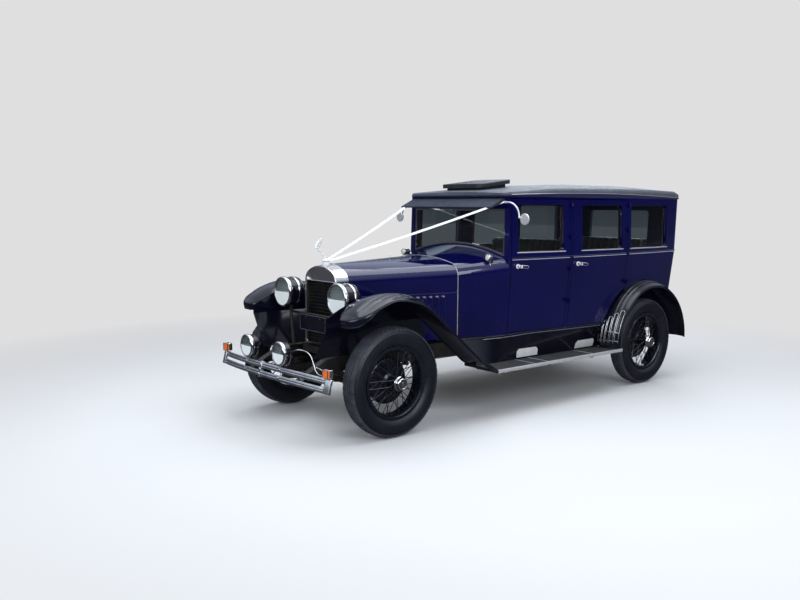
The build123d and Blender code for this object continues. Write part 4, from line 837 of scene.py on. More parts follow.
@dataclass(frozen=True)
class Wheel:
    """A wire wheel with its drum, cap and tyre, about an axle along Y.

    Its own Y runs outward from its middle plane.
    """

    place: tuple[float, float, float]
    radius: float = 425
    rim: float = 283
    pitches: int = 60
    slot_depth: float = 5
    sipe_depth: float = 3
    zigzag: float = 9
    crown_drop: float = 9.5
    spoke_radius: float = 2.7
    spoke_depth: float = 27
    nipple: float = 17
    nipple_radius: float = 4.4
    bolts: int = 6
    bolt_circle: float = 50
    rows: tuple[SpokeRow, ...] = (SpokeRow(10, 32, 76, 22, 50, 6), SpokeRow(15, 52, -34, -16, 60, 10))

    def at_hub(self, shape: Shape) -> Shape:
        """A shape about the origin, moved to the hub and turned to face outward."""
        sign = math.copysign(1, self.place[1])
        return Shape(shape.points * (1, sign, 1) + self.place, shape.faces[:, ::int(sign)])

    @staticmethod
    def round_axle(radius: float, y: float, degrees: float) -> np.ndarray:
        """A point at a radius from the axle, at an angle from straight ahead."""
        angle = math.radians(degrees)
        return np.array((radius * math.cos(angle), y, radius * math.sin(angle)))

    def spokes(self) -> list[Shape]:
        """Round spokes laced both ways, each with a nipple at the rim.

        Returns:
            The spokes and nipples, each a closed rod.
        """
        shapes = []
        reach = self.rim - self.spoke_depth
        for row in self.rows:
            for index in range(row.count):
                for way in (1, -1):
                    middle = 360 * index / row.count
                    start = self.round_axle(row.hub_radius, row.hub_y, middle + way * row.hub_lead)
                    end = self.round_axle(reach, row.rim_y, middle + way * row.rim_lead)
                    ahead = unit(end - start)
                    shapes.append(straight(start, end, self.spoke_radius, 8))
                    shapes.append(straight(end - self.nipple * ahead, end + 3 * ahead, self.nipple_radius, 6))
        return shapes

    def metal(self) -> list[Placed]:
        """Rim, hub with its bolts, brake drum with its cooling rib, spokes, valve and the polished cap.

        Returns:
            The shapes of three finishes.
        """
        flange, well = self.rim, self.rim - 20
        rim = lathe([(-64, flange), (-61, flange + 2), (-57.5, flange), (-57, well + 1.5), (-30, well - 4),
                     (30, well - 4), (57, well + 1.5), (57.5, flange), (61, flange + 2), (64, flange),
                     (62, well - 2), (54, well - 9), (32, well - 12), (-32, well - 12), (-54, well - 9),
                     (-62, well - 2)], Axis.ACROSS, around=120)
        hub = lathe([(-40, 20), (-40, 60), (-36, 62), (-29, 60), (-18, 41), (0, 35), (40, 33), (68, 33),
                     (80, 39), (86, 41), (94, 41), (97, 44), (118, 44), (118, 20)], Axis.ACROSS, around=60)
        cap = lathe([(92, 38), (92, 54), (95, 59), (99, 60), (104, 59), (108, 56), (112, 51), (120, 49),
                     (131, 47), (137, 43), (139, 38), (138.5, 34), (135, 31), (135, 20), (138, 16), (139, 0),
                     (110, 0)], Axis.ACROSS, around=60)
        groove = lathe([(134, 19), (136.2, 19), (136.2, 32), (134, 32)], Axis.ACROSS)
        drum = lathe([(-40.3, 42), (-40.3, 166), (-44, 173), (-50, 178), (-62, 178), (-64, 182), (-68, 182),
                      (-70, 178), (-80, 178), (-80, 168), (-56, 168), (-52, 42)], Axis.ACROSS, around=96)
        valve = straight((0, -4, well - 44), (0, 2, well - 6), 4, 10)
        valve += straight((0, -4, well - 56), (0, -4, well - 42), 6, 10)
        bolts = [straight((x, 88, z), (x, 99, z), 5, 6) for x, z in spots(self.bolt_circle, self.bolts)]
        dark = joined([rim, hub, drum, valve, *bolts, *self.spokes()])
        return [(self.at_hub(dark), "wheel_enamel"), (self.at_hub(cap), "bright_nickel"),
                (self.at_hub(groove), "chassis_black")]

    def carcass(self) -> Shape:
        """The tyre's walls: a bulge from bead to shoulder, with two raised rings and fine ribs outside.

        Returns:
            The closed shape.
        """
        half = spline([(56, 265), (57.5, 287), (66, 298), (77, 322), (80, 350), (77, 376), (67, 398),
                       (54, 411), (30, 415), (0, 416)], 46)
        y, r = half.T
        rings = 1.6 * (hump(r, 376, 2.2) + hump(r, 340, 2.2))
        ribs = 0.5 * np.maximum(0, np.sin((r - 383) * 1.2)) * ((r > 384) & (r < 402))
        y = y + (rings + ribs) * (y > 40)
        outer = np.column_stack([np.concatenate([y, -y[-2::-1]]), np.concatenate([r, r[-2::-1]])])
        inner = np.array([(-44, 267), (-52, 300), (-64, 350), (-46, 394), (0, 400), (46, 394), (64, 350),
                          (52, 300), (44, 267)])
        return lathe(np.vstack([outer, inner]), Axis.ACROSS, around=144)

    def tread(self) -> Shape:
        """The worn tread: a zigzag rib in the middle, sipes across the next ribs and slots at the shoulders.

        Each pitch has eight stations round the wheel. The radius falls by a groove's depth between ribs, and
        between two stations across a slot or sipe; the grooves' walls swing to and fro once a pitch.

        Returns:
            The closed shape.
        """
        phase = np.tile([0.0, 0.02, 0.10, 0.12, 0.50, 0.52, 0.70, 0.72], self.pitches)
        angle = (np.repeat(np.arange(self.pitches), 8) + phase) * 2 * math.pi / self.pitches
        half_y = np.array([0.0, 4, 9.5, 10.5, 14, 15, 22, 33, 34, 38, 39, 48, 58, 64, 67])
        half_depth = np.array([0, 0, 0, 6, 6, 0, 0, 0, 6, 6, 0, 0, 0, 1.5, 5])
        across = np.concatenate([-half_y[:0:-1], half_y])
        depth = np.concatenate([half_depth[:0:-1], half_depth])[None] * np.ones((len(angle), 1))
        side = abs(across)[None]
        in_slot = ((phase > 0.51) & (phase < 0.71))[:, None]
        in_sipe = ((phase > 0.01) & (phase < 0.11))[:, None]
        depth = np.where(in_slot & (side > 40), depth + self.slot_depth, depth)
        depth = np.where(in_sipe & (side > 14.5) & (side < 33.5), depth + self.sipe_depth, depth)
        swing = (abs(phase - 0.5) - 0.25) * self.zigzag
        y = across[None] + swing[:, None] * ((side > 8) & (side < 16))
        radius = self.radius - self.crown_drop * (abs(y) / 62) ** 2.6 - depth
        turn = angle[:, None]
        outer = grid(radius * np.sin(turn), y, radius * np.cos(turn))
        foot_y, low = np.array([(62, 396), (-62, 396)]).T
        base = grid(low * np.sin(turn), foot_y, low * np.cos(turn))
        return loft(np.concatenate([outer, base], axis=1), closed=True)

    def rubber(self) -> list[Placed]:
        """The tyre's carcass and tread."""
        return [(self.at_hub(self.carcass()), "side_rubber"), (self.at_hub(self.tread()), "tread_rubber")]

    def build(self, shop: Workshop, end: End, side: Side) -> None:
        """Makes the wheel and its tyre in place of their CAD nodes.

        Args:
            shop: what turns shapes into pieces.
            end: which axle it is on.
            side: which side of the car it is on.
        """
        body = f"{end}_wheel_{side}"
        shop.piece(f"{body}_wire", self.metal(), body, [body])
        shop.piece(f"{end}_tyre_tread_{side}", self.rubber(), body, [f"{end}_tyre_{side}"], sharp=32)


@dataclass(frozen=True)
class Fender:
    """What both fenders share: a crowned sheet with ridges, whose edges turn down on a quarter circle."""

    sheet: float = 3.0
    inner_y: float = 540
    lip_y: float = 868
    ridges: tuple = (742, 782, 822)
    ridge_height: float = 3.2
    ridge_width: float = 5.0

    def columns(self, count: int = 30) -> np.ndarray:
        """Shares of the way across, closer together at each ridge.

        Args:
            count: how many even shares there are, before those at the ridges.

        Returns:
            The shares, from 0 at the inner edge to 1 at the lip.
        """
        span = self.lip_y - self.inner_y
        fine = np.concatenate([(y + np.linspace(-9, 9, 7) - self.inner_y) / span for y in self.ridges])
        even = np.linspace(0, 1, count)
        clear = abs(even[:, None] - fine[None]).min(axis=1) > 0.012
        return np.sort(np.concatenate([even[clear], fine]))

    def relief(self, y: np.ndarray) -> np.ndarray:
        """The ridges' height at a distance across."""
        return sum(self.ridge_height * hump(y, own, self.ridge_width) for own in self.ridges)


@dataclass(frozen=True)
class FrontFender(Fender):
    """The front fender: an arc over the nose, a tighter arc behind, a slope and an arc to the board.

    The shape of its turned edge changes over the nose, from nose_start to the tip.
    """

    top: tuple[float, float] = (-12, 1052)
    nose_radius: float = 900
    rear_radius: float = 450
    slope: float = math.radians(40)
    foot_radius: float = 200
    board_top: float = 406
    tip_x: float = 438
    tip_round: float = 136
    blunt: float = 24
    inner_rise: float = 20
    crown: float = 46
    nose_length: float = 80
    nose_start: float = 262
    nose_fall: float = 50
    nose_drop: float = 48
    side_drop: float = 9
    side_bend: float = 7
    foot_x: float = -1018
    front_lift: float = 20

    def line(self) -> tuple[np.ndarray, np.ndarray, np.ndarray]:
        """The lip from tip to foot.

        Returns:
            Its points as (x, z), their normals, and the way the edge faces in plan: an angle from nearly
            ahead at the round tip to straight out.
        """
        corner = np.linspace(math.radians(15), math.pi / 2, 17)
        tip_x = self.tip_x - self.tip_round * (1 - np.cos(corner))
        top_x, top_z = self.top
        first = np.arcsin((tip_x - top_x) / self.nose_radius)
        nose = np.concatenate([first, np.linspace(first[-1], 0, 25)[1:]])
        back = -np.linspace(0, self.slope, 18)[1:]
        angles = np.concatenate([nose, back])
        radius = np.where(angles > 0, self.nose_radius, self.rear_radius)
        arc = np.stack([top_x + radius * np.sin(angles), top_z - radius + radius * np.cos(angles)], -1)
        sin, cos = math.sin(self.slope), math.cos(self.slope)
        run = self.foot_radius * math.tan(self.slope / 2)
        length = (arc[-1, 1] - self.board_top) / sin - run
        shares = np.linspace(0, 1, 22)[1:, None]
        slope = arc[-1] - shares * length * np.array((cos, sin))
        turn = np.linspace(self.slope, 0, 10)[1:]
        end_x = slope[-1, 0] - self.foot_radius * sin
        foot = np.stack([end_x + self.foot_radius * np.sin(turn),
                         self.board_top + self.foot_radius * (1 - np.cos(turn))], -1)
        points = np.vstack([arc, slope, foot])
        leans = np.concatenate([angles, np.full(len(slope), -self.slope), -turn])
        normals = np.stack([np.sin(leans), np.cos(leans)], -1)
        facing = np.full(len(points), math.pi / 2)
        facing[:len(corner)] = corner
        return points, normals, facing

    def height(self, x: np.ndarray, y: np.ndarray) -> np.ndarray:
        """The crown's height over the lip: a parabola from the inner edge's rise over its top to the lip.

        It sinks to the blunt nose, and its inner side falls away there.

        Args:
            x: stations.
            y: distances from the middle.

        Returns:
            The height at each point.
        """
        middle = (self.inner_y + self.lip_y) / 2 + 10
        curve = np.polyfit([self.inner_y, middle, self.lip_y], [self.inner_rise, self.crown, 0], 2)
        near_tip = ramp(x, self.tip_x - self.nose_length, self.nose_length)
        fall = self.nose_fall * ramp(x, 230, 170) ** 1.4
        share = ramp(y, self.inner_y, self.lip_y - self.inner_y)
        return np.polyval(curve, y) * np.sqrt(1 - 0.4 * near_tip ** 2) - fall * (1 - 0.6 * share)

    def fade(self, x: np.ndarray) -> np.ndarray:
        """How much of the turned edge is left at a station; it thins toward the running board."""
        return np.maximum(ramp(x, self.foot_x, 260), 0.25)

    def drop(self, x: np.ndarray, y: np.ndarray) -> np.ndarray:
        """How far the edge turns down: most under the nose, and a little more behind the wheel's top."""
        swell = self.nose_drop * ramp(x, self.nose_start, 138) ** 1.5 + 7 * hump(x, -310, 90)
        return 0.5 * np.maximum(self.height(x, y), 0) + (self.side_drop + swell) * self.fade(x)

    def bend(self, x: np.ndarray) -> np.ndarray:
        """The radius in plan of the turned edge: small along the sides, and large at the nose."""
        return self.side_bend * self.fade(x) + self.blunt * ramp(x, self.nose_start, 130)

    def inner_share(self, x: np.ndarray) -> np.ndarray:
        """How much of the drop the inner edge has: half, and all of it at the nose."""
        return 0.5 + 0.5 * ramp(x, self.nose_start + 8, 110)

    def rise(self, x: np.ndarray, y: np.ndarray) -> np.ndarray:
        """The lift of the outer half over the wheel's front."""
        share = (y - self.inner_y) / (self.lip_y - self.inner_y)
        return self.front_lift * hump(x, 80, 120) * share ** 2

    def shell(self) -> Shape:
        """The whole sheet. Rows and columns past the edges turn down, deepest at the blunt nose.

        Returns:
            The closed shape, on the left side.
        """
        points, normals, facing = self.line()
        turn = np.linspace(0, math.pi / 2, 7)[1:]
        rows = np.concatenate([np.zeros(6, int), np.arange(len(points))])
        past_nose = np.concatenate([turn[::-1], np.zeros(len(points))])[:, None]
        shares = self.columns()
        share = np.concatenate([np.zeros(6), shares, np.ones(6)])[None]
        past_side = np.concatenate([turn[::-1], np.zeros(len(shares)), turn])[None]
        station_x, faces = points[rows, :1], facing[rows, None]
        bend, fade = self.bend(station_x), self.fade(station_x)
        draw = self.tip_round * (1 - np.sin(faces)) + bend
        y = self.inner_y + draw + share * (self.lip_y - self.inner_y - 2 * draw)
        past = np.maximum(past_nose, past_side)
        angle = faces * past_side / (past_side + past_nose + 1e-9)
        inner = (share == 0) & (past_nose == 0)
        drop = self.drop(station_x, y) * np.where(inner, self.inner_share(station_x), 1)
        ridge = self.relief(y) * np.clip((self.tip_x - station_x) / 120 - 0.3, 0, 1) * fade
        lift = self.height(station_x, y) + self.rise(station_x, y) + ridge * (past == 0)
        lift = lift - drop * (1 - np.cos(past)) - 0.2 * drop * np.sin(past)
        steep = np.sin(past)[..., None]
        outward = grid(np.cos(angle), np.sin(angle) * np.where(share < 0.5, -1, 1), 0)
        normal = grid(normals[rows, :1], 0, normals[rows, 1:])
        line = grid(station_x, y, points[rows, 1:])
        top = line + normal * lift[..., None] + outward * bend[..., None] * steep
        return slab(top, top - self.sheet * (normal * (1 - 0.9 * steep) + outward * steep))

    def edge(self) -> Shape:
        """The wired bead along the turned edge: up the inner side, round the nose and back to the board.

        Returns:
            The closed shape, on the left side.
        """
        points, normals, facing = self.line()
        bend = self.bend(points[:, 0])
        inset = self.tip_round * (1 - np.sin(facing)) + bend * (1 - np.sin(facing))
        ahead = points[:, 0] + bend * np.cos(facing)
        inner = np.arange(np.argmax(inset < 1), -1, -1)
        front_y = np.linspace(self.inner_y + inset[0], self.lip_y - inset[0], 12)[1:-1]
        rows = np.concatenate([inner, np.zeros(len(front_y), int), np.arange(len(points))])
        y = np.concatenate([self.inner_y + inset[inner], front_y, self.lip_y - inset])
        x = np.concatenate([ahead[inner], np.full(len(front_y), points[0, 0] + bend[0]), ahead])
        factor = np.concatenate([self.inner_share(points[inner, 0]), np.ones(len(front_y) + len(points))])
        own_x = points[rows, 0]
        lift = self.height(own_x, y) + self.rise(own_x, y) - 1.2 * self.drop(own_x, y) * factor
        normal = grid(normals[rows, 0], 0, normals[rows, 1])
        return tube(grid(x, y, points[rows, 1]) + normal * lift[:, None], 4.5, 10, normal)


@dataclass(frozen=True)
class RearFender(Fender):
    """The rear fender: a half ring over the wheel, with a wall on the body's side."""

    axle: tuple[float, float] = (-3235, 425)
    inner_y: float = 612
    ridges: tuple = (768, 800, 832)
    inner_radius: float = 586
    crown_radius: float = 610
    crown_y: float = 770
    lip_radius: float = 566
    lip_drop: float = 14
    lip_bend: float = 7
    wall_low: float = 600.3
    guard_ribs: tuple = (648, 692, 736, 780, 824)
    rib_gap: float = 32

    def radius(self, y: np.ndarray) -> np.ndarray:
        """The ring's radius at a distance across: an arc from the body over the crown to the lip.

        Args:
            y: distances from the middle.

        Returns:
            The radius at each.
        """
        curve = np.polyfit([self.inner_y, self.crown_y, self.lip_y],
                           [self.inner_radius, self.crown_radius, self.lip_radius], 2)
        return np.polyval(curve, y)

    def point(self, y: np.ndarray, angle: np.ndarray, lift: float = 0) -> np.ndarray:
        """A point on the ring, at an angle from straight ahead."""
        radius = self.radius(y) + lift
        return grid(self.axle[0] + radius * np.cos(angle), y, self.axle[1] + radius * np.sin(angle))

    def shell(self) -> Shape:
        """The ring and its turned lip.

        Returns:
            The closed shape, on the left side.
        """
        angle = np.radians(np.linspace(0, 180, 91))[:, None]
        turn = np.linspace(0, math.pi / 2, 6)[1:]
        shares = self.columns()
        past = np.concatenate([np.zeros(len(shares)), turn])
        y = self.inner_y + np.concatenate([shares, np.ones(5)]) * (self.lip_y - self.inner_y)
        radius = self.radius(y) + self.relief(y) * (past == 0) - self.lip_drop * (1 - np.cos(past))
        radius = radius - 0.2 * self.lip_drop * np.sin(past)
        out = y + np.where(past > 0, self.lip_bend * (np.sin(past) - 1), 0)
        top = grid(radius * np.cos(angle), out, radius * np.sin(angle))
        thin = radius - self.sheet * (1 - 0.9 * np.sin(past))
        under = grid(thin * np.cos(angle), out - self.sheet * np.sin(past), thin * np.sin(angle))
        return slab(top, under).moved(self.axle[0], 0, self.axle[1])

    def edge(self) -> Shape:
        """The wired bead round the lip.

        Returns:
            The closed shape, on the left side.
        """
        angle = np.radians(np.linspace(0, 180, 91))
        radius = self.lip_radius - 1.2 * self.lip_drop
        x, z = self.axle[0] + radius * np.cos(angle), self.axle[1] + radius * np.sin(angle)
        return tube(grid(x, self.lip_y - 1, z), 4.5, 10, (0, 1, 0))

    def wall(self) -> Shape:
        """The sheet inside the body that closes the arch down to the floor.

        Returns:
            The closed shape, on the left side.
        """
        rise = self.wall_low - self.axle[1]
        reach = math.sqrt((self.inner_radius - 1) ** 2 - rise ** 2)
        x = reach * np.sin(np.linspace(-math.pi / 2, math.pi / 2, 61))[:, None]
        head = np.sqrt((self.inner_radius - 1) ** 2 - x ** 2)
        z = rise + np.linspace(0, 1, 9)[None] * (head - rise)
        inside = grid(self.axle[0] + x, self.inner_y, self.axle[1] + z)
        return slab(inside + (0, 5, 0), inside)

    def guard(self) -> Shape:
        """The guard on the fender's front: pairs of ribs joined by arches over their heads, and two bars.

        Each path is worked out across and round the ring.

        Returns:
            The closed shape, on the left side.
        """
        rods = []
        low, half = math.radians(4), self.rib_gap / 2
        turn = np.linspace(0, math.pi, 13)
        for first in self.guard_ribs:
            top = math.radians(18 + 0.09 * (first - 640))
            leg, bend = np.linspace(low, top, 14), top + half / 600 * np.sin(turn)
            y = first + half * np.concatenate([np.zeros(14), 1 - np.cos(turn), np.full(14, 2)])
            rods.append(tube(self.point(y, np.concatenate([leg, bend, leg[::-1]]), 3), 2.8, 8, (0.6, 0, 0.8)))
        for level in (6, 14):
            y = np.linspace(648, 858, 24)
            rods.append(tube(self.point(y, np.full(24, math.radians(level)), 2), 3.2, 8, (0, 0, 1)))
        return joined(rods)


class Fenders:
    """Both pairs of fenders."""

    def build(self, shop: Workshop) -> None:
        """Makes the four shells, beads, walls and guards in place of the CAD node.

        Args:
            shop: what turns shapes into pieces.
        """
        front, rear = FrontFender(), RearFender()
        for name, shape in (("front_fenders", front.shell() + front.edge()),
                            ("rear_fenders", rear.shell() + rear.edge() + rear.wall())):
            shop.piece(name, [(shape.both(), "black_enamel")], replaces=["fenders"])
        shop.piece("gravel_guards", [(rear.guard().both(), "dull_nickel")])


@dataclass(frozen=True)
class Lamp:
    """A drum lamp that faces forward: rim, barrel, bands, reflector, bulb and lens."""

    name: str
    place: tuple[float, float, float]
    radius: float
    depth: float
    rim: float
    bands: tuple
    lens: str
    dome_start: float = 0.7
    wall: float = 2.5

    def outline(self, inset: float) -> list[tuple[float, float]]:
        """The barrel's outline behind the rim: straight to a share of its depth, then a dome to its back.

        Args:
            inset: how far it lies inside the barrel's skin.

        Returns:
            The outline as (along, radius) pairs.
        """
        r = self.radius - 8 - inset
        start, back = self.depth * self.dome_start, self.depth - inset
        dome = [(-start - (back - start) * math.sin(a), r * math.cos(a) ** 0.8)
                for a in np.linspace(0, math.pi / 2, 12)[:-1]]
        return [(-self.rim + 8, r), *dome, (-back, 0)]

    def parts(self) -> list[Placed]:
        """The lamp's shapes about its own face, moved to its place.

        Returns:
            The shapes of each finish, for both lamps.
        """
        r, rim, depth = self.radius, self.rim, self.depth
        edge = [(-rim, r - 9), (-rim, r - 4), (3 - rim, r - 1), (8 - rim, r), (-rim / 2, r + 1), (-9, r),
                (-3, r - 3), (0, r - 8), (0, r - 11), (-2, r - 14), (-9, r - 15), (-11, r - 12), (-12, r - 9)]
        bands = [[(-near, r - 10), (-near, r - 5), (-near - 3, r - 3.5), (-near - width + 3, r - 3.5),
                  (-near - width, r - 5), (-near - width, r - 10)] for near, width in self.bands]
        bulb = [(-depth * share, radius) for share, radius in
                ((0.6, 0), (0.6, 9), (0.52, 9), (0.46, 13), (0.36, 15), (0.28, 11), (0.24, 0))]
        turned = {
            "bright_nickel": [edge, *bands],
            "black_enamel": [self.outline(0) + self.outline(self.wall)[::-1]],
            "reflector_silver": [dished(15, r - 14, 14, -0.52 * depth - 8, 0.48 * depth, 1.5)],
            "bulb_glass": [bulb],
            self.lens: [dished(0, r - 13, 10, -2, -5.5, 3)],
        }
        parts = []
        for finish, profiles in turned.items():
            shape = joined(lathe(profile, Axis.AHEAD, self.place, 72) for profile in profiles)
            parts.append((shape.both(), finish))
        return parts

    def build(self, shop: Workshop) -> None:
        """Makes the pair of lamps in place of the CAD nodes."""
        shop.piece(self.name, self.parts() + self.fittings(), replaces=["lamps", "lamp_lenses"])

    def fittings(self) -> list[Placed]:
        """Small parts of one kind of lamp."""
        return []


@dataclass(frozen=True)
class DrivingLamp(Lamp):
    """A smaller lamp in a bright yoke, with a knob at its back."""

    def fittings(self) -> list[Placed]:
        """The yoke under the barrel and the knob.

        Returns:
            The shapes, for both lamps.
        """
        x, y, z = self.place
        r, middle, back = self.radius + 2, x - self.rim - 24, -self.depth
        turn = np.radians(np.linspace(170, 370, 30))
        arc = grid(middle, y + r * np.cos(turn), z + r * np.sin(turn))
        yoke = swept(arc, rounded_ring(8, 3.5, 3, 3), (1, 0, 0))
        ears = [straight((middle, y + way * (r - 10), z - 14), (middle, y + way * (r + 9), z - 14), 9)
                for way in (1, -1)]
        knob = lathe([(back + 3, 0), (back + 3, 9), (back - 8, 9), (back - 11, 15), (back - 20, 16),
                      (back - 26, 11), (back - 28, 0)], Axis.AHEAD, self.place, 32)
        return [(joined([yoke, knob, *ears]).both(), "bright_nickel")]


@dataclass(frozen=True)
class Bumper:
    """Two bowed bars with a channel along each, end caps and a clamp, tilted about their ends' line."""

    front: float = 724
    bow: float = 114
    half_width: float = 785
    height: float = 44
    top: float = 528
    bottom: float = 419
    tilt: float = 14
    thick: float = 5
    bulge: float = 6.5
    channel: float = 3.2

    def bar(self, middle: float) -> Shape:
        """One bar: an arc in plan, its face rounded above and below a channel.

        Args:
            middle: the height of its middle.

        Returns:
            The closed shape.
        """
        radius = (self.half_width ** 2 + self.bow ** 2) / (2 * self.bow)
        turn = math.atan2(self.half_width, radius - self.bow)
        angle = np.linspace(-turn, turn, 90)
        inner = radius - self.thick
        path = grid(self.front - radius + inner * np.cos(angle), inner * np.sin(angle), middle)
        share = np.linspace(1, -1, 29)
        up = share * self.height / 2
        face = 1 + self.bulge * np.sqrt(1 - share ** 2) - self.channel * hump(up, 0, self.channel)
        back = np.full(len(up), -self.thick)
        return swept(path, np.column_stack([np.concatenate([face, back]), np.concatenate([up, up[::-1]])]))

    def bolt(self, y: float, middle: float) -> Shape:
        """A domed bolt head on the bar's face."""
        x = self.front - self.bow * (y / self.half_width) ** 2 + 2
        return lathe([(0, 0), (0, 9), (4, 9), (8, 6), (9.5, 0)], Axis.AHEAD, (x, y, middle), 20)

    def build(self, shop: Workshop) -> None:
        """Makes the bumper in place of the CAD node.

        Args:
            shop: what turns shapes into pieces.
        """
        end_x = self.front - self.bow
        middle = (self.top + self.bottom) / 2
        centres = (self.top - self.height / 2, self.bottom + self.height / 2)
        slope = math.degrees(math.atan2(2 * self.bow, self.half_width))
        cap = block((22, 60, self.top - self.bottom + 2), 8).turned(Axis.UP, slope)
        cap = cap.moved(end_x + 8, self.half_width - 30, middle)
        clamp = block((34, 30, self.top - self.bottom + 16), 6).moved(self.front - 9, 0, middle)
        dome = joined(self.bolt(0, middle + offset).moved(6) for offset in (-38, 0, 38))
        irons = joined(self.bolt(way * 246, centre) for way in (1, -1) for centre in centres)
        whole = joined([self.bar(centres[0]), self.bar(centres[1]), cap, clamp, dome, irons, cap.mirrored()])
        shop.piece("bumper_bars", [(whole.turned(Axis.ACROSS, -self.tilt, (end_x, 0, middle)), "aluminium")],
                   replaces=["bumper"])


class Body:
    """The body's surface, as the frame has it: straight between three heights, on an arc in plan."""

    stations = (-1346.0, -2450.0)
    heights = (640.0, 1305.0, 1842.0)
    half_widths = ((602, 650, 632), (690, 744, 726), (680, 728, 722))
    rears = (-3762.0, -3818.0, -3850.0)
    corner = 80.0
    wall = 45.0

    @classmethod
    def level(cls, values: Sequence, z: np.ndarray) -> np.ndarray:
        """A value between its three heights."""
        return np.interp(z, cls.heights, values)

    @classmethod
    def side(cls, x: np.ndarray, z: np.ndarray) -> np.ndarray:
        """The half width at a station and a height: a parabola through three stations.

        Args:
            x: stations.
            z: heights.

        Returns:
            The half width at each point.
        """
        first, second = cls.stations
        third = cls.level(cls.rears, z) + cls.corner
        front, middle, tail = (cls.level(row, z) for row in cls.half_widths)
        return (front * (x - second) * (x - third) / ((first - second) * (first - third))
                + middle * (x - first) * (x - third) / ((second - first) * (second - third))
                + tail * (x - first) * (x - second) / ((third - first) * (third - second)))

    @classmethod
    def run(cls, start: float, end: float, z: Callable, count: int = 40) -> np.ndarray:
        """A line along the left side.

        Args:
            start: the station where it starts.
            end: the station where it ends.
            z: gives the height at each station.
            count: how many points it has.

        Returns:
            The line's points.
        """
        x = np.linspace(start, end, count)
        height = z(x)
        return grid(x, cls.side(x, height), height)

    @classmethod
    def round_back(cls, start: float, z: Callable) -> np.ndarray:
        """A line from the left side, round the back, to the right side.

        Args:
            start: the station at which both its ends stand.
            z: gives the height at each station.

        Returns:
            The line's points.
        """
        tail_z = float(z(np.array(cls.rears[-1])))
        back, tail = cls.level(cls.rears, tail_z), cls.level(cls.half_widths[2], tail_z)
        side = cls.run(start, back + cls.corner, z)
        turn = np.linspace(0, math.pi / 2, 12)[1:]
        corner = grid(back + cls.corner * (1 - np.sin(turn)), tail - cls.corner * (1 - np.cos(turn)), tail_z)
        half = np.vstack([side, corner])
        return np.vstack([half, half[::-1] * (1, -1, 1)])


@dataclass(frozen=True)
class Door:
    """A door's stations: its free edge, its hinged edge, and its window's two ends."""

    free: float
    hinge: float
    window: tuple[float, float]


DOORS = {
    End.FRONT: Door(-1383, -2076, (-1452, -2008)),
    End.REAR: Door(-2122, -2904, (-2242, -2828)),
}
DOOR_GAP = 8
QUARTER_WINDOW = (-2966, -3596)
WINDOW_LOW, WINDOW_HIGH, WINDOW_CORNER = 1362, 1775, 30


def belt(x: np.ndarray) -> np.ndarray:
    """The belt moulding's height at a station, rising a little to the tail."""
    return 1307 + 13 * ramp(-x, 1380, 2400)


def below_belt(x: np.ndarray) -> np.ndarray:
    """The height of the bright line under the belt moulding."""
    return belt(x) - 9


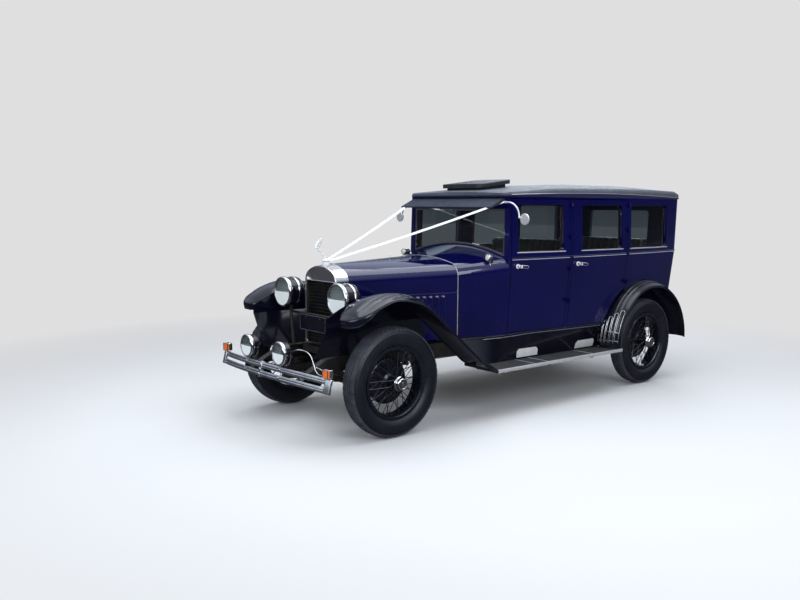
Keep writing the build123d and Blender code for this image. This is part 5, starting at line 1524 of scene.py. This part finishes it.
class BodyTrim:
    """Mouldings, window sills, garnish rails, handles, door cards and the roof's drip along the body."""

    moulding = half_round(15, 6)
    sill = half_round(9, 5, 8)
    line = half_round(5, 4, 6)
    handle_z = 1240
    card_low, card_high = 700, 1334
    arch_radius = 650
    body_front = -1346
    foot_ends = (-953, -2600)

    def window(self, span: tuple[float, float]) -> list[Placed]:
        """A bright sill outside a window, and the stained garnish rail inside it.

        Args:
            span: the stations of the window's front and rear ends.

        Returns:
            Both shapes, on the left side.
        """
        front, rear = span
        sill = swept(Body.run(front + 12, rear - 12, lambda x: 0 * x + WINDOW_LOW - 3), self.sill)
        margin = 8
        outline = rounded_ring((front - rear) / 2 + margin, (WINDOW_HIGH - WINDOW_LOW) / 2 + margin,
                               WINDOW_CORNER + margin, 5)
        x, z = (outline + ((front + rear) / 2, (WINDOW_LOW + WINDOW_HIGH) / 2)).T
        path = grid(x, Body.side(x, z) - Body.wall - 3, z)
        rail = swept(path, rounded_ring(13, 7, 5, 3), (0, 1, 0), closed=True)
        return [(sill, "bright_steel"), (rail, "garnish")]

    def handle(self, x: float) -> Shape:
        """A door's lever: a boss, a neck, and a stout arm with rounded ends that lies back along the door.

        Args:
            x: the station of its boss.

        Returns:
            The closed shape, on the left side.
        """
        z = self.handle_z
        y = float(Body.side(np.array(x), np.array(z)))
        plate = lathe([(-2, 0), (-2, 21), (3, 21), (6, 18), (7, 13), (7, 0)], Axis.ACROSS, (x, y, z), 32)
        neck = lathe([(4, 0), (4, 13), (20, 11.5), (34, 11.5), (41, 14), (47, 13), (50, 8), (51, 0)],
                     Axis.ACROSS, (x, y, z), 24)
        arm = spline([(x + 22, y + 34, z + 3.7), (x - 6, y + 35, z + 1), (x - 35, y + 36, z - 1.5),
                      (x - 66, y + 36, z - 4.4), (x - 94, y + 35, z - 7)], 40)
        share = np.linspace(0, 1, 40)
        near_end = np.clip(np.minimum(share, 1 - share) / 0.08, 0.06, 1)
        return joined([plate, neck, tube(arm, 13, 18, scale=np.sqrt(1 - (1 - near_end) ** 2))])

    def door(self, shop: Workshop, end: End, side: Side) -> None:
        """Dresses one door: mouldings, handle, inner card, sill and garnish rail.

        Args:
            shop: what turns shapes into pieces.
            end: which pair of doors it belongs to.
            side: which side of the car it is on.
        """
        door = DOORS[end]
        parts = [(swept(Body.run(door.free, door.hinge, belt), self.moulding), "blue_enamel"),
                 # the bright line and the handle take the near-white finish, their shine a painted highlight
                 (swept(Body.run(door.free - 4, door.hinge, below_belt), self.line), "white_painted_highlight"),
                 (self.handle(door.free - 70), "white_painted_highlight"),
                 (self.card(door.free - 34, door.hinge + 34, end is End.REAR), "seat_hide"),
                 *self.window(door.window)]
        if side is Side.RIGHT:
            parts = [(shape.mirrored(), finish) for shape, finish in parts]
        shop.piece(f"{end}_door_trim_{side}", parts, f"{end}_door_{side}")

    def fixed(self, shop: Workshop) -> None:
        """Dresses the body between and behind the doors.

        Args:
            shop: what turns shapes into pieces.
        """
        front, rear = DOORS[End.FRONT], DOORS[End.REAR]
        post = Body.run(front.hinge - DOOR_GAP, rear.free + DOOR_GAP, belt, count=4)
        tail = swept(Body.round_back(rear.hinge - DOOR_GAP, belt), self.moulding)
        line = swept(Body.round_back(rear.hinge - DOOR_GAP, below_belt), self.line)
        # the bright line takes the near-white finish, its shine a painted highlight
        parts = [(swept(post, self.moulding).both() + tail, "blue_enamel"), (line, "white_painted_highlight")]
        parts += [(shape.both(), finish) for shape, finish in self.window(QUARTER_WINDOW)]
        shop.piece("body_mouldings", parts)
        first, last = self.foot_ends
        x = np.linspace(first, last, 60)
        low = np.interp(x, (last, -1684, first), (641, 643, 612))
        cowl_foot = np.interp(x, (self.body_front, first), (602, 474))
        body_foot = Body.side(np.minimum(x, self.body_front), 640)
        foot = np.where(x < self.body_front, body_foot, cowl_foot)
        upper = swept(grid(x, foot - 1, low + 8), half_round(12, 7, 8))
        lower = swept(grid(x, foot - 5, low - 9), half_round(8, 6, 8))
        shop.piece("body_foot_mouldings", [(upper.both(), "black_enamel"), (lower.both(), "aluminium")])
        closing = block((4, 112, 46), 1).moved(-1020, 544, 428)
        shop.piece("apron_corners", [((self.apron_corner() + closing).both(), "black_enamel")])

    def apron_corner(self) -> Shape:
        """The sheet that carries the apron on from its rear end into the rear fender.

        Returns:
            The closed shape, on the left side.
        """
        low, high, low_y = 408, 638, 605
        x = np.linspace(-2598, -2690, 8)[:, None]
        z = np.linspace(low, high, 8)[None]
        high_y = Body.side(x, 640) - 9
        top = grid(x, low_y + (z - low) / (high - low) * (high_y - low_y), z)
        return slab(top, top - (0, 4, 0))

    def card(self, front: float, rear: float, over_arch: bool) -> Shape:
        """The trimmed card on a door's inner side, with a raised panel and a line of stitching round it.

        Args:
            front: the station of its front edge.
            rear: the station of its rear edge.
            over_arch: whether its foot follows the arch over the rear wheel.

        Returns:
            The closed shape, on the left side.
        """
        x = np.concatenate([[front], np.linspace(front - 3, front - 40, 5),
                            np.linspace(front - 44, rear + 44, 16), np.linspace(rear + 40, rear + 3, 5),
                            [rear]])[:, None]
        axle_x, axle_z = RearFender.axle
        arch = axle_z + np.sqrt(np.maximum(self.arch_radius ** 2 - (x - axle_x) ** 2, 0)) * over_arch
        low, high = np.maximum(arch, self.card_low), self.card_high
        share = np.concatenate([[0], np.linspace(0.005, 0.06, 5), np.linspace(0.07, 0.93, 16),
                                np.linspace(0.94, 0.995, 5), [1]])[None]
        z = low + share * (high - low)
        edge = np.minimum(np.minimum(front - x, x - rear), np.minimum(z - low, high - z))
        swell = 5 * ramp(edge, 0, 3) + 4 * ramp(edge, 30, 10) - 1.5 * hump(edge, 22, 3)
        y = Body.side(x, z) - Body.wall + 1
        return slab(grid(x, y - swell - 1.2, z), grid(x, y, z))

    def roof_drip(self, shop: Workshop) -> None:
        """The thin moulding where the roof's cloth meets the painted side, following its long curve.

        Args:
            shop: what turns shapes into pieces.
        """
        x = np.linspace(-1366, -3836, 70)
        y = np.interp(x[::-1], ROOF_STATIONS[::-1], ROOF_HALF_WIDTHS[::-1])[::-1]
        side = grid(x, y, roof_line(x))
        shop.piece("roof_drip", [(swept(side, half_round(9, 6, 8)).both(), "bright_nickel")])

    def build(self, shop: Workshop) -> None:
        """Makes all the body's trim.

        Args:
            shop: what turns shapes into pieces.
        """
        for side in Side:
            for end in End:
                self.door(shop, end, side)
        self.fixed(shop)
        self.roof_drip(shop)


ROOF_STATIONS = (-1316, -1362, -1900, -2600, -3300, -3740, -3836)
ROOF_HALF_WIDTHS = (600, 646, 712, 742, 740, 734, 706)


def roof_line(x: np.ndarray) -> np.ndarray:
    """The height of the cloth's lower edge: a shallow parabola, highest over the rear door."""
    return ROOF_CREST - ROOF_FALL * (x - ROOF_CREST_X) ** 2


@dataclass(frozen=True)
class Bonnet:
    """The bonnet's side panels with their louvres, and its bright band, catches and hinge studs."""

    front: float = 43
    rear: float = -915
    first: float = 232
    last: float = 465
    hinge_rear: float = -920
    foot: float = 640
    split: float = 1045.7
    sheet: float = 8
    louvres: int = 12
    pitch: float = 58
    start: float = -146
    low: float = 734
    high: float = 1010
    half: float = 18
    rise: float = 11
    line_z: float = 1028
    lean: float = -13.6
    catch_z: float = 690

    def side(self, x: np.ndarray) -> np.ndarray:
        """The panel's distance from the middle at a station."""
        return self.first + (self.front - x) * (self.last - self.first) / (self.front - self.hinge_rear)

    def panel(self) -> list[Placed]:
        """The left panel, with black blocks in its louvres' openings that paint the shade inside them.

        Each louvre rises on a quarter wave toward the rear and ends in a sharp drop, and its head and foot
        are rounded; a thin raised line runs over them.

        Returns:
            The panel and the blocks of painted shade in the louvres' openings.
        """
        local = np.array([1.15, 1, 0.85, 0.65, 0.45, 0.2, -0.05, -0.35, -0.65, -0.9, -0.97, -1.02, -1.1,
                          -1.15])
        middles = self.start - self.pitch * np.arange(self.louvres)
        x = np.concatenate([[self.front, -60, -100], (middles[:, None] + local[None] * self.half).ravel(),
                            [-850, -890, self.rear]])
        edge = np.array([0, 3, 8, 16, 26])
        z = np.concatenate([[self.foot, 690, self.low - 6], self.low + edge, np.linspace(790, 950, 5),
                            self.high - edge[::-1], [self.high + 6], self.line_z + np.arange(-6, 7, 3),
                            [self.split]])
        offset = x[:, None] - middles[None]
        near = np.take_along_axis(offset, abs(offset).argmin(axis=1)[:, None], 1)[:, 0] / self.half
        wave = np.where(abs(near) < 1, np.cos(np.clip((near + 0.9) / 1.9, 0, 1) * math.pi / 2), 0)
        wave = np.where((near < -0.9) & (near > -1.0), wave * (near + 1.0) / 0.1 * 0.6, wave)
        reach = np.minimum(z - self.low, self.high - z) / 22
        ends = np.sqrt(1 - (1 - np.clip(reach, 0, 1)) ** 2)
        line = 2.2 * hump(z, self.line_z, 2.4)
        height = self.rise * wave[:, None] * ends[None] + line[None]
        x = x[:, None]
        top, back = grid(x, self.side(x) + height, z), grid(x, self.side(x) - self.sheet + 0 * height, z)
        # a black block at each louvre's open rear end: painted shade for the dark gap behind it
        painted_shade_slot = block((5, 7, self.high - self.low - 34), 2).turned(Axis.UP, self.lean)
        painted_shade_slots = [painted_shade_slot.moved(own - self.half * 0.98, self.side(own - self.half) + 2.8,
                              (self.low + self.high) / 2) for own in middles]
        return [(slab(top, back), "blue_enamel"), (joined(painted_shade_slots), "chassis_black")]

    def build(self, shop: Workshop) -> None:
        """Makes the panels in place of the CAD node, and the band, catches and studs.

        Args:
            shop: what turns shapes into pieces.
        """
        shop.piece("bonnet_side_panels", [(shape.both(), finish) for shape, finish in self.panel()],
                   replaces=["bonnet_sides"])
        shoulder = 1161
        leg = np.linspace(shoulder, self.foot, 20)[1:]
        path = stood(arched(465, 1322, shoulder, 120, (26, 14), leg), -927)
        along = np.gradient(path, axis=0)
        band = swept(path, half_round(16, 5.5), np.cross(along, np.cross(along, (1, 0, 0))))
        shop.piece("bonnet_band", [(band, "bright_steel")])
        catches = []
        for x in (-150, -830):
            y, z = self.side(x), self.catch_z
            base = block((46, 5, 26), 2).turned(Axis.UP, self.lean).moved(x, y + 2, z)
            path = spline([(x - 18, y + 12, z), (x, y + 12, z + 14), (x + 16, y + 10, z + 32),
                           (x + 20, y + 6, z + 54)], 14)
            knob = lathe([(0, 0), (0, 8), (5, 9), (10, 7), (12, 0)], Axis.ACROSS, (x - 16, y + 4, z), 20)
            catches += [base, tube(path, 4.5, 10), knob]
        stud = lathe([(0, 0), (0, 4), (9, 4), (9, 8), (13, 8), (17, 6), (19, 0)], Axis.UP, around=24)
        knobs = [stud.moved(x, 0, 1306 + (self.front - x) * 0.036 - 1.5) for x in (-559, -793)]
        shop.piece("bonnet_catches", [(joined(catches).both(), "bright_nickel")])
        # the hinge knobs take the near-white finish, their shine a painted highlight
        shop.piece("bonnet_hinge_knobs", [(joined(knobs), "white_painted_highlight")])


class FrontDress:
    """The radiator's edges, filler cap and figure, plate border, cowl lamps and the ribbons."""

    grille_x = 160
    cap_x = 108
    ribbon_start = np.array((96, 20, 1310))
    ribbon_end = np.array((-1338, 604, 1800))
    ribbon_width = 24

    def radiator(self, shop: Workshop) -> None:
        """A rolled edge round the shell's face, and a bead round the grille's opening.

        Args:
            shop: what turns shapes into pieces.
        """
        shell = arched(214, 1269, 1136, 104, (20, 12), (1000, 860, 740, 622))
        rim = tube(stood(shell, self.grille_x), 6.5, 12, (1, 0, 0))
        opening = rounded_ring(202, 257.5, 22, 5) + (0, 892.5)
        bead = tube(stood(opening, self.grille_x), 4, 10, (1, 0, 0), closed=True)
        shop.piece("radiator_beads", [(rim + bead, "bright_nickel")])

    def cap(self, shop: Workshop) -> None:
        """The filler cap, its leaning stem and a plain swept wing.

        Args:
            shop: what turns shapes into pieces.
        """
        x, z = self.cap_x, 1309.3
        cap = lathe([(0, 0), (0, 34), (4, 36), (10, 35), (15, 30), (20, 18), (24, 12), (26, 0)], Axis.UP,
                    (x, 0, z), 40)
        grips = [straight((x + ahead, y, z + 2), (x + ahead, y, z + 10), 2.2, 6)
                 for ahead, y in spots(35, 20)]
        path = spline([(x, 0, z + 20), (x + 24, 0, z + 46), (x + 52, 0, z + 76), (x + 78, 0, z + 106)], 18)
        stem = tube(path, 6.5, 12, (0, 1, 0), scale=np.linspace(1.25, 0.8, 18))
        collar = lathe([(-5, 0), (-5, 10), (0, 12), (5, 10), (5, 0)], Axis.AHEAD, around=20)
        collar = collar.turned(Axis.ACROSS, -48).moved(x + 66, 0, z + 92)
        path = spline([(x + 92, 0, z + 96), (x + 84, 0, z + 116), (x + 68, 0, z + 142), (x + 48, 0, z + 166),
                       (x + 26, 0, z + 184)], 28)
        share = np.linspace(0, 1, 28)
        breadth = np.clip(np.sin(share * math.pi) ** 0.7 * (1.15 - 0.5 * share), 0.05, 1)
        wing = swept(path, ring(6.5, 16, squash=4), (1, 0, 0), scale=breadth)
        head = lathe([(-12, 0), (-10, 6), (-3, 10), (5, 9), (12, 4), (17, 0)], Axis.AHEAD,
                     (x + 92, 0, z + 108), 20)
        # the cap and figure take the near-white finish, their shine a painted highlight
        shop.piece("radiator_figure", [(joined([cap, *grips, stem, collar, wing, head]), "white_painted_highlight")],
                   replaces=["radiator_cap"])

    def plate(self, shop: Workshop) -> None:
        """An aluminium border round the blank plate, and the screws of its straps.

        Args:
            shop: what turns shapes into pieces.
        """
        x, z = 240.5, 812
        outline = rounded_ring(180, 61, 6, 4) + (0, z)
        border = swept(stood(outline, x), rounded_ring(2.6, 1.6, 1.2, 2), (1, 0, 0), closed=True)
        screws = joined(lathe([(0, 0), (0, 5), (2, 4.5), (3, 0)], Axis.AHEAD, (x - 2, way * 100, z + 44), 14)
                        for way in (1, -1))
        shop.piece("plate_border", [(border + screws, "aluminium")])

    def cowl_lamps(self, shop: Workshop) -> None:
        """Small bright lamps on the cowl: bullet, rim and domed lens.

        Args:
            shop: what turns shapes into pieces.
        """
        place = (-1180, 560, 1322)
        shell = lathe([(-4, 26), (-4, 29), (-9, 30), (-20, 29.5), (-40, 27.5), (-62, 20), (-76, 8), (-79, 0),
                       (-72, 0), (-60, 17), (-38, 25)], Axis.AHEAD, place, 40)
        rim = lathe([(-8, 24), (-8, 31), (-2, 32), (4, 30), (6, 26), (5, 23), (0, 22)], Axis.AHEAD, place, 40)
        lens = lathe([(-2, 0), (-2, 24.5), (3, 24), (7, 17), (10, 8), (11, 0)], Axis.AHEAD, place, 32)
        foot = lathe([(0, 0), (0, 13), (-30, 11), (-60, 15), (-88, 22), (-88, 0)], Axis.UP,
                     (-1215, 556, 1302), 24)
        bright = (shell + rim + foot).both()
        shop.piece("cowl_lamps", [(bright, "bright_nickel"), (lens.both(), "bulb_glass")])

    def ribbon(self, lean: float) -> Shape:
        """The left band, which rolls a little along its length.

        Args:
            lean: how far its flat side leans, in degrees.

        Returns:
            The closed shape.
        """
        start, end = self.ribbon_start, self.ribbon_end
        share = np.linspace(0, 1, 90)[:, None]
        across = np.linspace(-0.5, 0.5, 13)[None] * self.ribbon_width
        ahead = unit(end - start)
        flat = unit(np.cross(ahead, (0, 0, 1)))
        rise = np.cross(flat, ahead)
        lean = np.radians(lean + 12 * np.sin(share * 2.2))
        pinch = 1 - 0.55 * np.exp(-share / 0.02) - 0.4 * np.exp(-(1 - share) / 0.02)
        fold = 0.9 * np.sin(across / 3.1 + 3 * share) + 0.5 * np.sin(across / 1.7 - 5 * share)
        sag = -9 * np.sin(share * math.pi)
        spread = across * pinch
        middle = start + share[..., None] * (end - start) + sag[..., None] * np.array((0, 0, 1))
        cos, sin = np.cos(lean)[..., None], np.sin(lean)[..., None]
        face = middle + spread[..., None] * (cos * flat + sin * rise) + (fold * pinch)[..., None] * rise
        return slab(face, face - 0.6 * (rise * cos - flat * sin))

    def ribbons(self, shop: Workshop) -> None:
        """Two satin bands, drawn tight from a knot on the filler neck to the windscreen posts' heads.

        Args:
            shop: what turns shapes into pieces.
        """
        for side, shape in ((Side.LEFT, self.ribbon(-50)), (Side.RIGHT, self.ribbon(20).mirrored())):
            ribbon = shop.piece(f"ribbon_{side}", [(shape, "satin")], sharp=80)
        loop = lathe([(-17, 27), (-15, 29), (0, 30), (15, 29), (17, 27), (0, 26.3)], Axis.UP,
                     (self.cap_x, 0, 1289), 48)
        knot = lathe([(-15, 0), (-13, 8), (0, 13), (13, 8), (15, 0)], Axis.AHEAD, around=24)
        knot = knot.turned(Axis.UP, -20).moved(88, 16, 1305)
        shop.piece("ribbon_knot", [(loop + knot.both(), "satin")])

    def build(self, shop: Workshop) -> None:
        """Makes every piece of the front.

        Args:
            shop: what turns shapes into pieces.
        """
        self.radiator(shop)
        self.cap(shop)
        self.plate(shop)
        self.cowl_lamps(shop)
        self.ribbons(shop)


@dataclass(frozen=True)
class RunningBoard:
    """Ribbed mats in three panels, seams between them and a polished edge."""

    top: float = 406
    inner: float = 602
    outer: float = 858
    ends: tuple = (-1022, -1500, -2300, -2733)
    extra_seam: float = -1670
    ribs: int = 30

    def mat(self, front: float, rear: float) -> Shape:
        """One ribbed panel: ribs along it, each a raised half wave.

        Args:
            front: the station of its front edge.
            rear: the station of its rear edge.

        Returns:
            The closed shape, on the left side.
        """
        share = np.linspace(0, 1, self.ribs * 4 + 1)[None]
        height = 2.0 + 1.6 * np.maximum(0, np.sin(share * self.ribs * 2 * math.pi)) ** 0.6
        height = height * np.where((share == 0) | (share == 1), 0.3, 1)
        x = np.array([front, front - 1.5, (front + rear) / 2, rear + 1.5, rear])[:, None]
        lowered = np.array([0.3, 1, 1, 1, 0.3])[:, None]
        y = self.inner + 4 + share * (self.outer - self.inner - 16)
        top = grid(x, y, self.top + height * lowered)
        return slab(top, top * (1, 1, 0) + (0, 0, self.top - 1))

    def build(self, shop: Workshop) -> None:
        """Makes both boards' dress.

        Args:
            shop: what turns shapes into pieces.
        """
        mats = [self.mat(front - 4, rear + 4) for front, rear in zip(self.ends, self.ends[1:])]
        seam = block((7, self.outer - self.inner - 8, 4), 1.4)
        seam = seam.moved(0, (self.inner + self.outer) / 2, self.top + 2.6)
        seams = [seam.moved(x) for x in (*self.ends[1:3], self.extra_seam)]
        first, last = self.ends[0], self.ends[-1]
        x = np.linspace(first + 2, last, 40)
        path = grid(x, self.outer + 1, self.top - 9)
        edge = swept(path[::-1], rounded_ring(4.5, 14, 4, 4))
        lip = block((first - last, 22, 4), 1.6).moved((first + last) / 2, self.outer - 7, self.top + 1.6)
        shop.piece("board_mats", [(joined(mats).both(), "mat_rubber"),
                                  (joined([*seams, edge, lip]).both(), "bright_steel")])


class Indicators:
    """Bright housings round the two indicators' amber faces."""

    def build(self, shop: Workshop) -> None:
        """Makes both housings.

        Args:
            shop: what turns shapes into pieces.
        """
        x, y, z = 605, 738, 563
        case = block((34, 69, 63), 6).moved(x - 9, y, z)
        rim = [block((7, 69, 5), 2).moved(x + 23, y, z + way * 29) for way in (1, -1)]
        rim += [block((7, 5, 63), 2).moved(x + 23, y + way * 32, z) for way in (1, -1)]
        shop.piece("indicator_housings", [(joined([case, *rim]).both(), "bright_nickel")])


@dataclass(frozen=True)
class Bench:
    """A pleated bench seat: a cushion and a leaning back on a plain base."""

    name: str
    front: float
    back: float
    floor: float = 640
    half_width: float = 556
    pleats: int = 13
    groove: float = 8
    end_round: float = 38

    def pad(self, depth: float, height: float, facing: tuple[float, float]) -> Shape:
        """One pad about the origin, pleated on the sides that face up or forward.

        Rings stand along its width. Each is a rectangle with round corners, swollen in its middle, that sinks
        at every seam by a fourth power of the way to it and draws in on a quarter circle at both ends.

        Args:
            depth: its size ahead.
            height: its size upward.
            facing: the way its pleated face looks, as (ahead, up).

        Returns:
            The closed shape.
        """
        local = np.array([-0.5, -0.47, -0.4, -0.3, -0.12, 0.12, 0.3, 0.4, 0.47])
        pitch = 2 * self.half_width / self.pleats
        middles = (np.arange(self.pleats) + 0.5) * pitch - self.half_width
        y = np.concatenate([(middles[:, None] + local[None] * pitch).ravel(), [self.half_width]])
        sink = self.groove * np.abs(np.concatenate([np.tile(local, self.pleats), [0.5]]) / 0.5) ** 4
        near_end = ramp(abs(y), self.half_width - self.end_round, self.end_round)
        draw = self.end_round * (1 - np.sqrt(1 - near_end ** 2)) * 0.9
        corner = min(depth, height) * 0.32
        outline = rounded_ring(depth / 2, height / 2, corner, 7)
        half = np.array((depth / 2, height / 2))
        normal = unit(outline - np.clip(outline, corner - half, half - corner))
        shown = np.clip(normal @ np.array(facing) + 0.3, 0, 1)
        swell = 6 * (1 - (outline / half) ** 2).max(axis=1).clip(0) * shown
        move = (swell - sink[:, None] * shown)[..., None] * normal - draw[:, None, None] * normal
        flat = outline[None] + move
        return loft(grid(flat[..., 0], y[:, None], flat[..., 1]))

    def build(self, shop: Workshop) -> None:
        """Makes the bench's pieces in place of the CAD node. The back's points lean by their height.

        Args:
            shop: what turns shapes into pieces.
        """
        cushion_depth = self.front - self.back - 130
        cushion = self.pad(cushion_depth - 14, 138, (0.5, 1))
        cushion = cushion.moved(self.front - cushion_depth / 2, 0, self.floor + 265)
        pad = self.pad(112, 596, (1, 0.2))
        lean = (pad.points[:, 2:] + 300) * (-64 / 610)
        back = Shape(pad.points + lean * (1, 0, 0), pad.faces).moved(self.back + 64, 0, self.floor + 496)
        base_depth = self.front - self.back - 50
        base = block((base_depth, 1040, 188), 8).moved(self.back + 10 + base_depth / 2, 0, self.floor + 95)
        shop.piece(f"{self.name}_base", [(base, "seat_hide")], replaces=["seats"])
        for part, shape in (("cushion", cushion), ("back", back)):
            piece = shop.piece(f"{self.name}_{part}", [(shape, "seat_hide")], replaces=["seats"], sharp=60)


class Stage:
    """The floor, the lamps and the camera; none of it belongs to the car."""

    pale = (0.86, 0.86, 0.87)
    eye = (3.919264, 5.514092, 1.746761)
    yaw, pitch, roll = math.radians(-129.7925), math.radians(-6.4101), math.radians(0.35746)
    focal_pixels, image_width, sensor = 828.404, 800.0, 36.0
    backdrop, glass_light, soft_light = 0.86, 0.3, 0.4
    daylight = (0.86, 0.93, 1.0)
    sky_tint = (0.78, 0.88, 1.12)
    floor_gloss = (0.075, 0.08, 0.095)
    # metres from the middle between which the floor runs into the surround
    fade = (3.4, 6.5)
    # the surround that gloss sees: places up from straight down (0) to straight up (1), and their shades
    view_bands = ((0.44, 0.10), (0.49, 0.06), (0.53, 0.025), (0.575, 0.04), (0.63, 0.30), (0.74, 0.80))

    def build(self) -> None:
        """Makes the floor, the world, the lamps and the camera."""
        self.floor()
        self.world()
        self.lamp("overhead_lamp", (0.2, 0.3, 5.2), (0, 0, 0.8), (6.5, 4.5), 250)
        self.lamp("side_lamp", (2.5, 6.5, 3.6), (0, 0, 0.9), (4.0, 3.0), 170)
        self.lamp("front_lamp", (7.5, 1.0, 3.0), (0, 0, 0.9), (3.5, 2.5), 110)
        self.lamp("rear_lamp", (-6.5, -4.0, 4.0), (0, 0, 0.9), (4.0, 3.0), 130)
        self.camera()

    def floor(self) -> None:
        """A wide pale floor with the car's shadow, which shows dark to gloss and fades into the surround."""
        mesh = bpy.data.meshes.new("studio_floor")
        reach = 60.0
        mesh.from_pydata([(-reach, -reach, 0), (reach, -reach, 0), (reach, reach, 0), (-reach, reach, 0)],
                         [], [(0, 1, 2, 3)])
        floor = bpy.data.objects.new("studio_floor", mesh)
        bpy.context.scene.collection.objects.link(floor)
        tree = Tree(bpy.data.materials.new("studio_floor"))
        tree.set(tree.shader, Base_Color=(*self.pale, 1), Roughness=0.9)
        path = tree.add("ShaderNodeLightPath").outputs
        dark = tree.add("ShaderNodeEmission", Color=(*self.floor_gloss, 1), Strength=1.0)
        far = tree.add("ShaderNodeEmission", Color=(*self.pale, 1), Strength=self.backdrop)
        distance = tree.add("ShaderNodeVectorMath", Vector=tree.place)
        distance.operation = "LENGTH"
        seen_far = tree.math("MULTIPLY", tree.spread(distance.outputs["Value"], 0, 1, *self.fade),
                             path["Is Camera Ray"])
        shown = tree.choose(seen_far, tree.shader.outputs[0], far.outputs[0])
        shown = tree.choose(path["Is Glossy Ray"], shown, dark.outputs[0])
        tree.set(tree.nodes["Material Output"], Surface=shown)
        floor.data.materials.append(tree.owner)

    def world(self) -> None:
        """A pale surround for the camera.

        Gloss sees an open place instead: grey ground, a dark band at the horizon and a bright sky. Glass and
        soft light see the pale surround dimmer.
        """
        tree = Tree(bpy.data.worlds.new("studio"))
        bpy.context.scene.world = tree.owner
        way = tree.add("ShaderNodeTexCoord").outputs["Generated"]
        height = tree.add("ShaderNodeSeparateXYZ", Vector=way).outputs[2]
        ramp_node = tree.nodes.new("ShaderNodeValToRGB")
        tree.feed(ramp_node.inputs[0], tree.spread(height, 0, 1, -1, 1))
        bands = ramp_node.color_ramp.elements
        bands[0].position, bands[0].color = 0.0, (0.08, 0.085, 0.1, 1)
        bands[1].position, bands[1].color = 1.0, (1.0, 1.0, 1.02, 1)
        for place, shade in self.view_bands:
            bands.new(place).color = (*(shade * part for part in self.sky_tint), 1)
        pale = (*self.pale, 1)
        path = tree.add("ShaderNodeLightPath").outputs
        shown = tree.add("ShaderNodeBackground", Color=pale, Strength=self.soft_light).outputs[0]
        for kind, colour, strength in (("Is Transmission Ray", pale, self.glass_light),
                                       ("Is Glossy Ray", ramp_node.outputs[0], 1.0),
                                       ("Is Camera Ray", pale, self.backdrop)):
            seen = tree.add("ShaderNodeBackground", Color=colour, Strength=strength).outputs[0]
            shown = tree.choose(path[kind], shown, seen)
        tree.set(tree.nodes["World Output"], Surface=shown)

    def lamp(self, name: str, place: tuple, aim: tuple, size: tuple, power: float) -> None:
        """A soft rectangular lamp.

        Args:
            name: the lamp's name.
            place: where it hangs.
            aim: the point that it faces.
            size: its width and height.
            power: watts.
        """
        data = bpy.data.lights.new(name, "AREA")
        data.shape, data.size, data.size_y, data.energy = "RECTANGLE", *size, power
        data.color = self.daylight
        lamp = bpy.data.objects.new(name, data)
        bpy.context.scene.collection.objects.link(lamp)
        lamp.location = place
        lamp.rotation_euler = (Vector(aim) - Vector(place)).to_track_quat("-Z", "Y").to_euler()

    def camera(self) -> None:
        """The photograph's viewpoint, as an eye, two angles, a roll and a focal length in pixels."""
        look = Vector((math.cos(self.pitch) * math.cos(self.yaw), math.cos(self.pitch) * math.sin(self.yaw),
                       math.sin(self.pitch)))
        level = look.cross(Vector((0, 0, 1))).normalized()
        above = level.cross(look)
        right = level * math.cos(self.roll) + above * math.sin(self.roll)
        up = above * math.cos(self.roll) - level * math.sin(self.roll)
        data = bpy.data.cameras.new("photograph")
        data.sensor_width = self.sensor
        data.lens = self.focal_pixels * self.sensor / self.image_width
        camera = bpy.data.objects.new("photograph", data)
        bpy.context.scene.collection.objects.link(camera)
        turn = Matrix((right, up, -look)).transposed().to_4x4()
        camera.matrix_world = Matrix.Translation((AXLE_X + self.eye[0], *self.eye[1:])) @ turn
        bpy.context.scene.camera = camera


def dress_nodes(finishes: Finishes) -> None:
    """Gives each CAD node the finish of its own material slot.

    Args:
        finishes: the car's materials.
    """
    for part in frame["record"]["subparts"]:
        node = frame["nodes"][part["node"]]
        finish = OWN_FINISHES.get(part["node"], NODE_FINISHES[part["material_slot"]])
        node.data.materials.clear()
        node.data.materials.append(finishes[finish])


def main() -> None:
    """Builds the stage, the finishes and each sub-assembly in order."""
    logging.basicConfig(level=logging.INFO)
    bpy.context.scene.view_settings.view_transform = "Standard"
    Stage().build()
    finishes = Finishes()
    dress_nodes(finishes)
    shop = Workshop(finishes)
    for end in End:
        for side in Side:
            joint = next(j for j in frame["joints"] if j["name"] == f"{end}_wheel_{side}_spin")
            x, y, z = joint["pos_m"]
            Wheel(((x - AXLE_X) / MM, y / MM, z / MM)).build(shop, end, side)
    Fenders().build(shop)
    Lamp("headlamps", place=(286, 390, 1040), radius=126, depth=190, rim=34, bands=((96, 18),),
         lens="headlamp_lens").build(shop)
    DrivingLamp("driving_lamps", place=(714, 238, 649), radius=92, depth=100, rim=32, bands=(),
                lens="driving_lens").build(shop)
    Bumper().build(shop)
    Bonnet().build(shop)
    BodyTrim().build(shop)
    FrontDress().build(shop)
    RunningBoard().build(shop)
    Indicators().build(shop)
    Bench("front_bench", front=-1900, back=-2430).build(shop)
    Bench("rear_bench", front=-2950, back=-3500).build(shop)


if __name__ == "__main__":
    main()
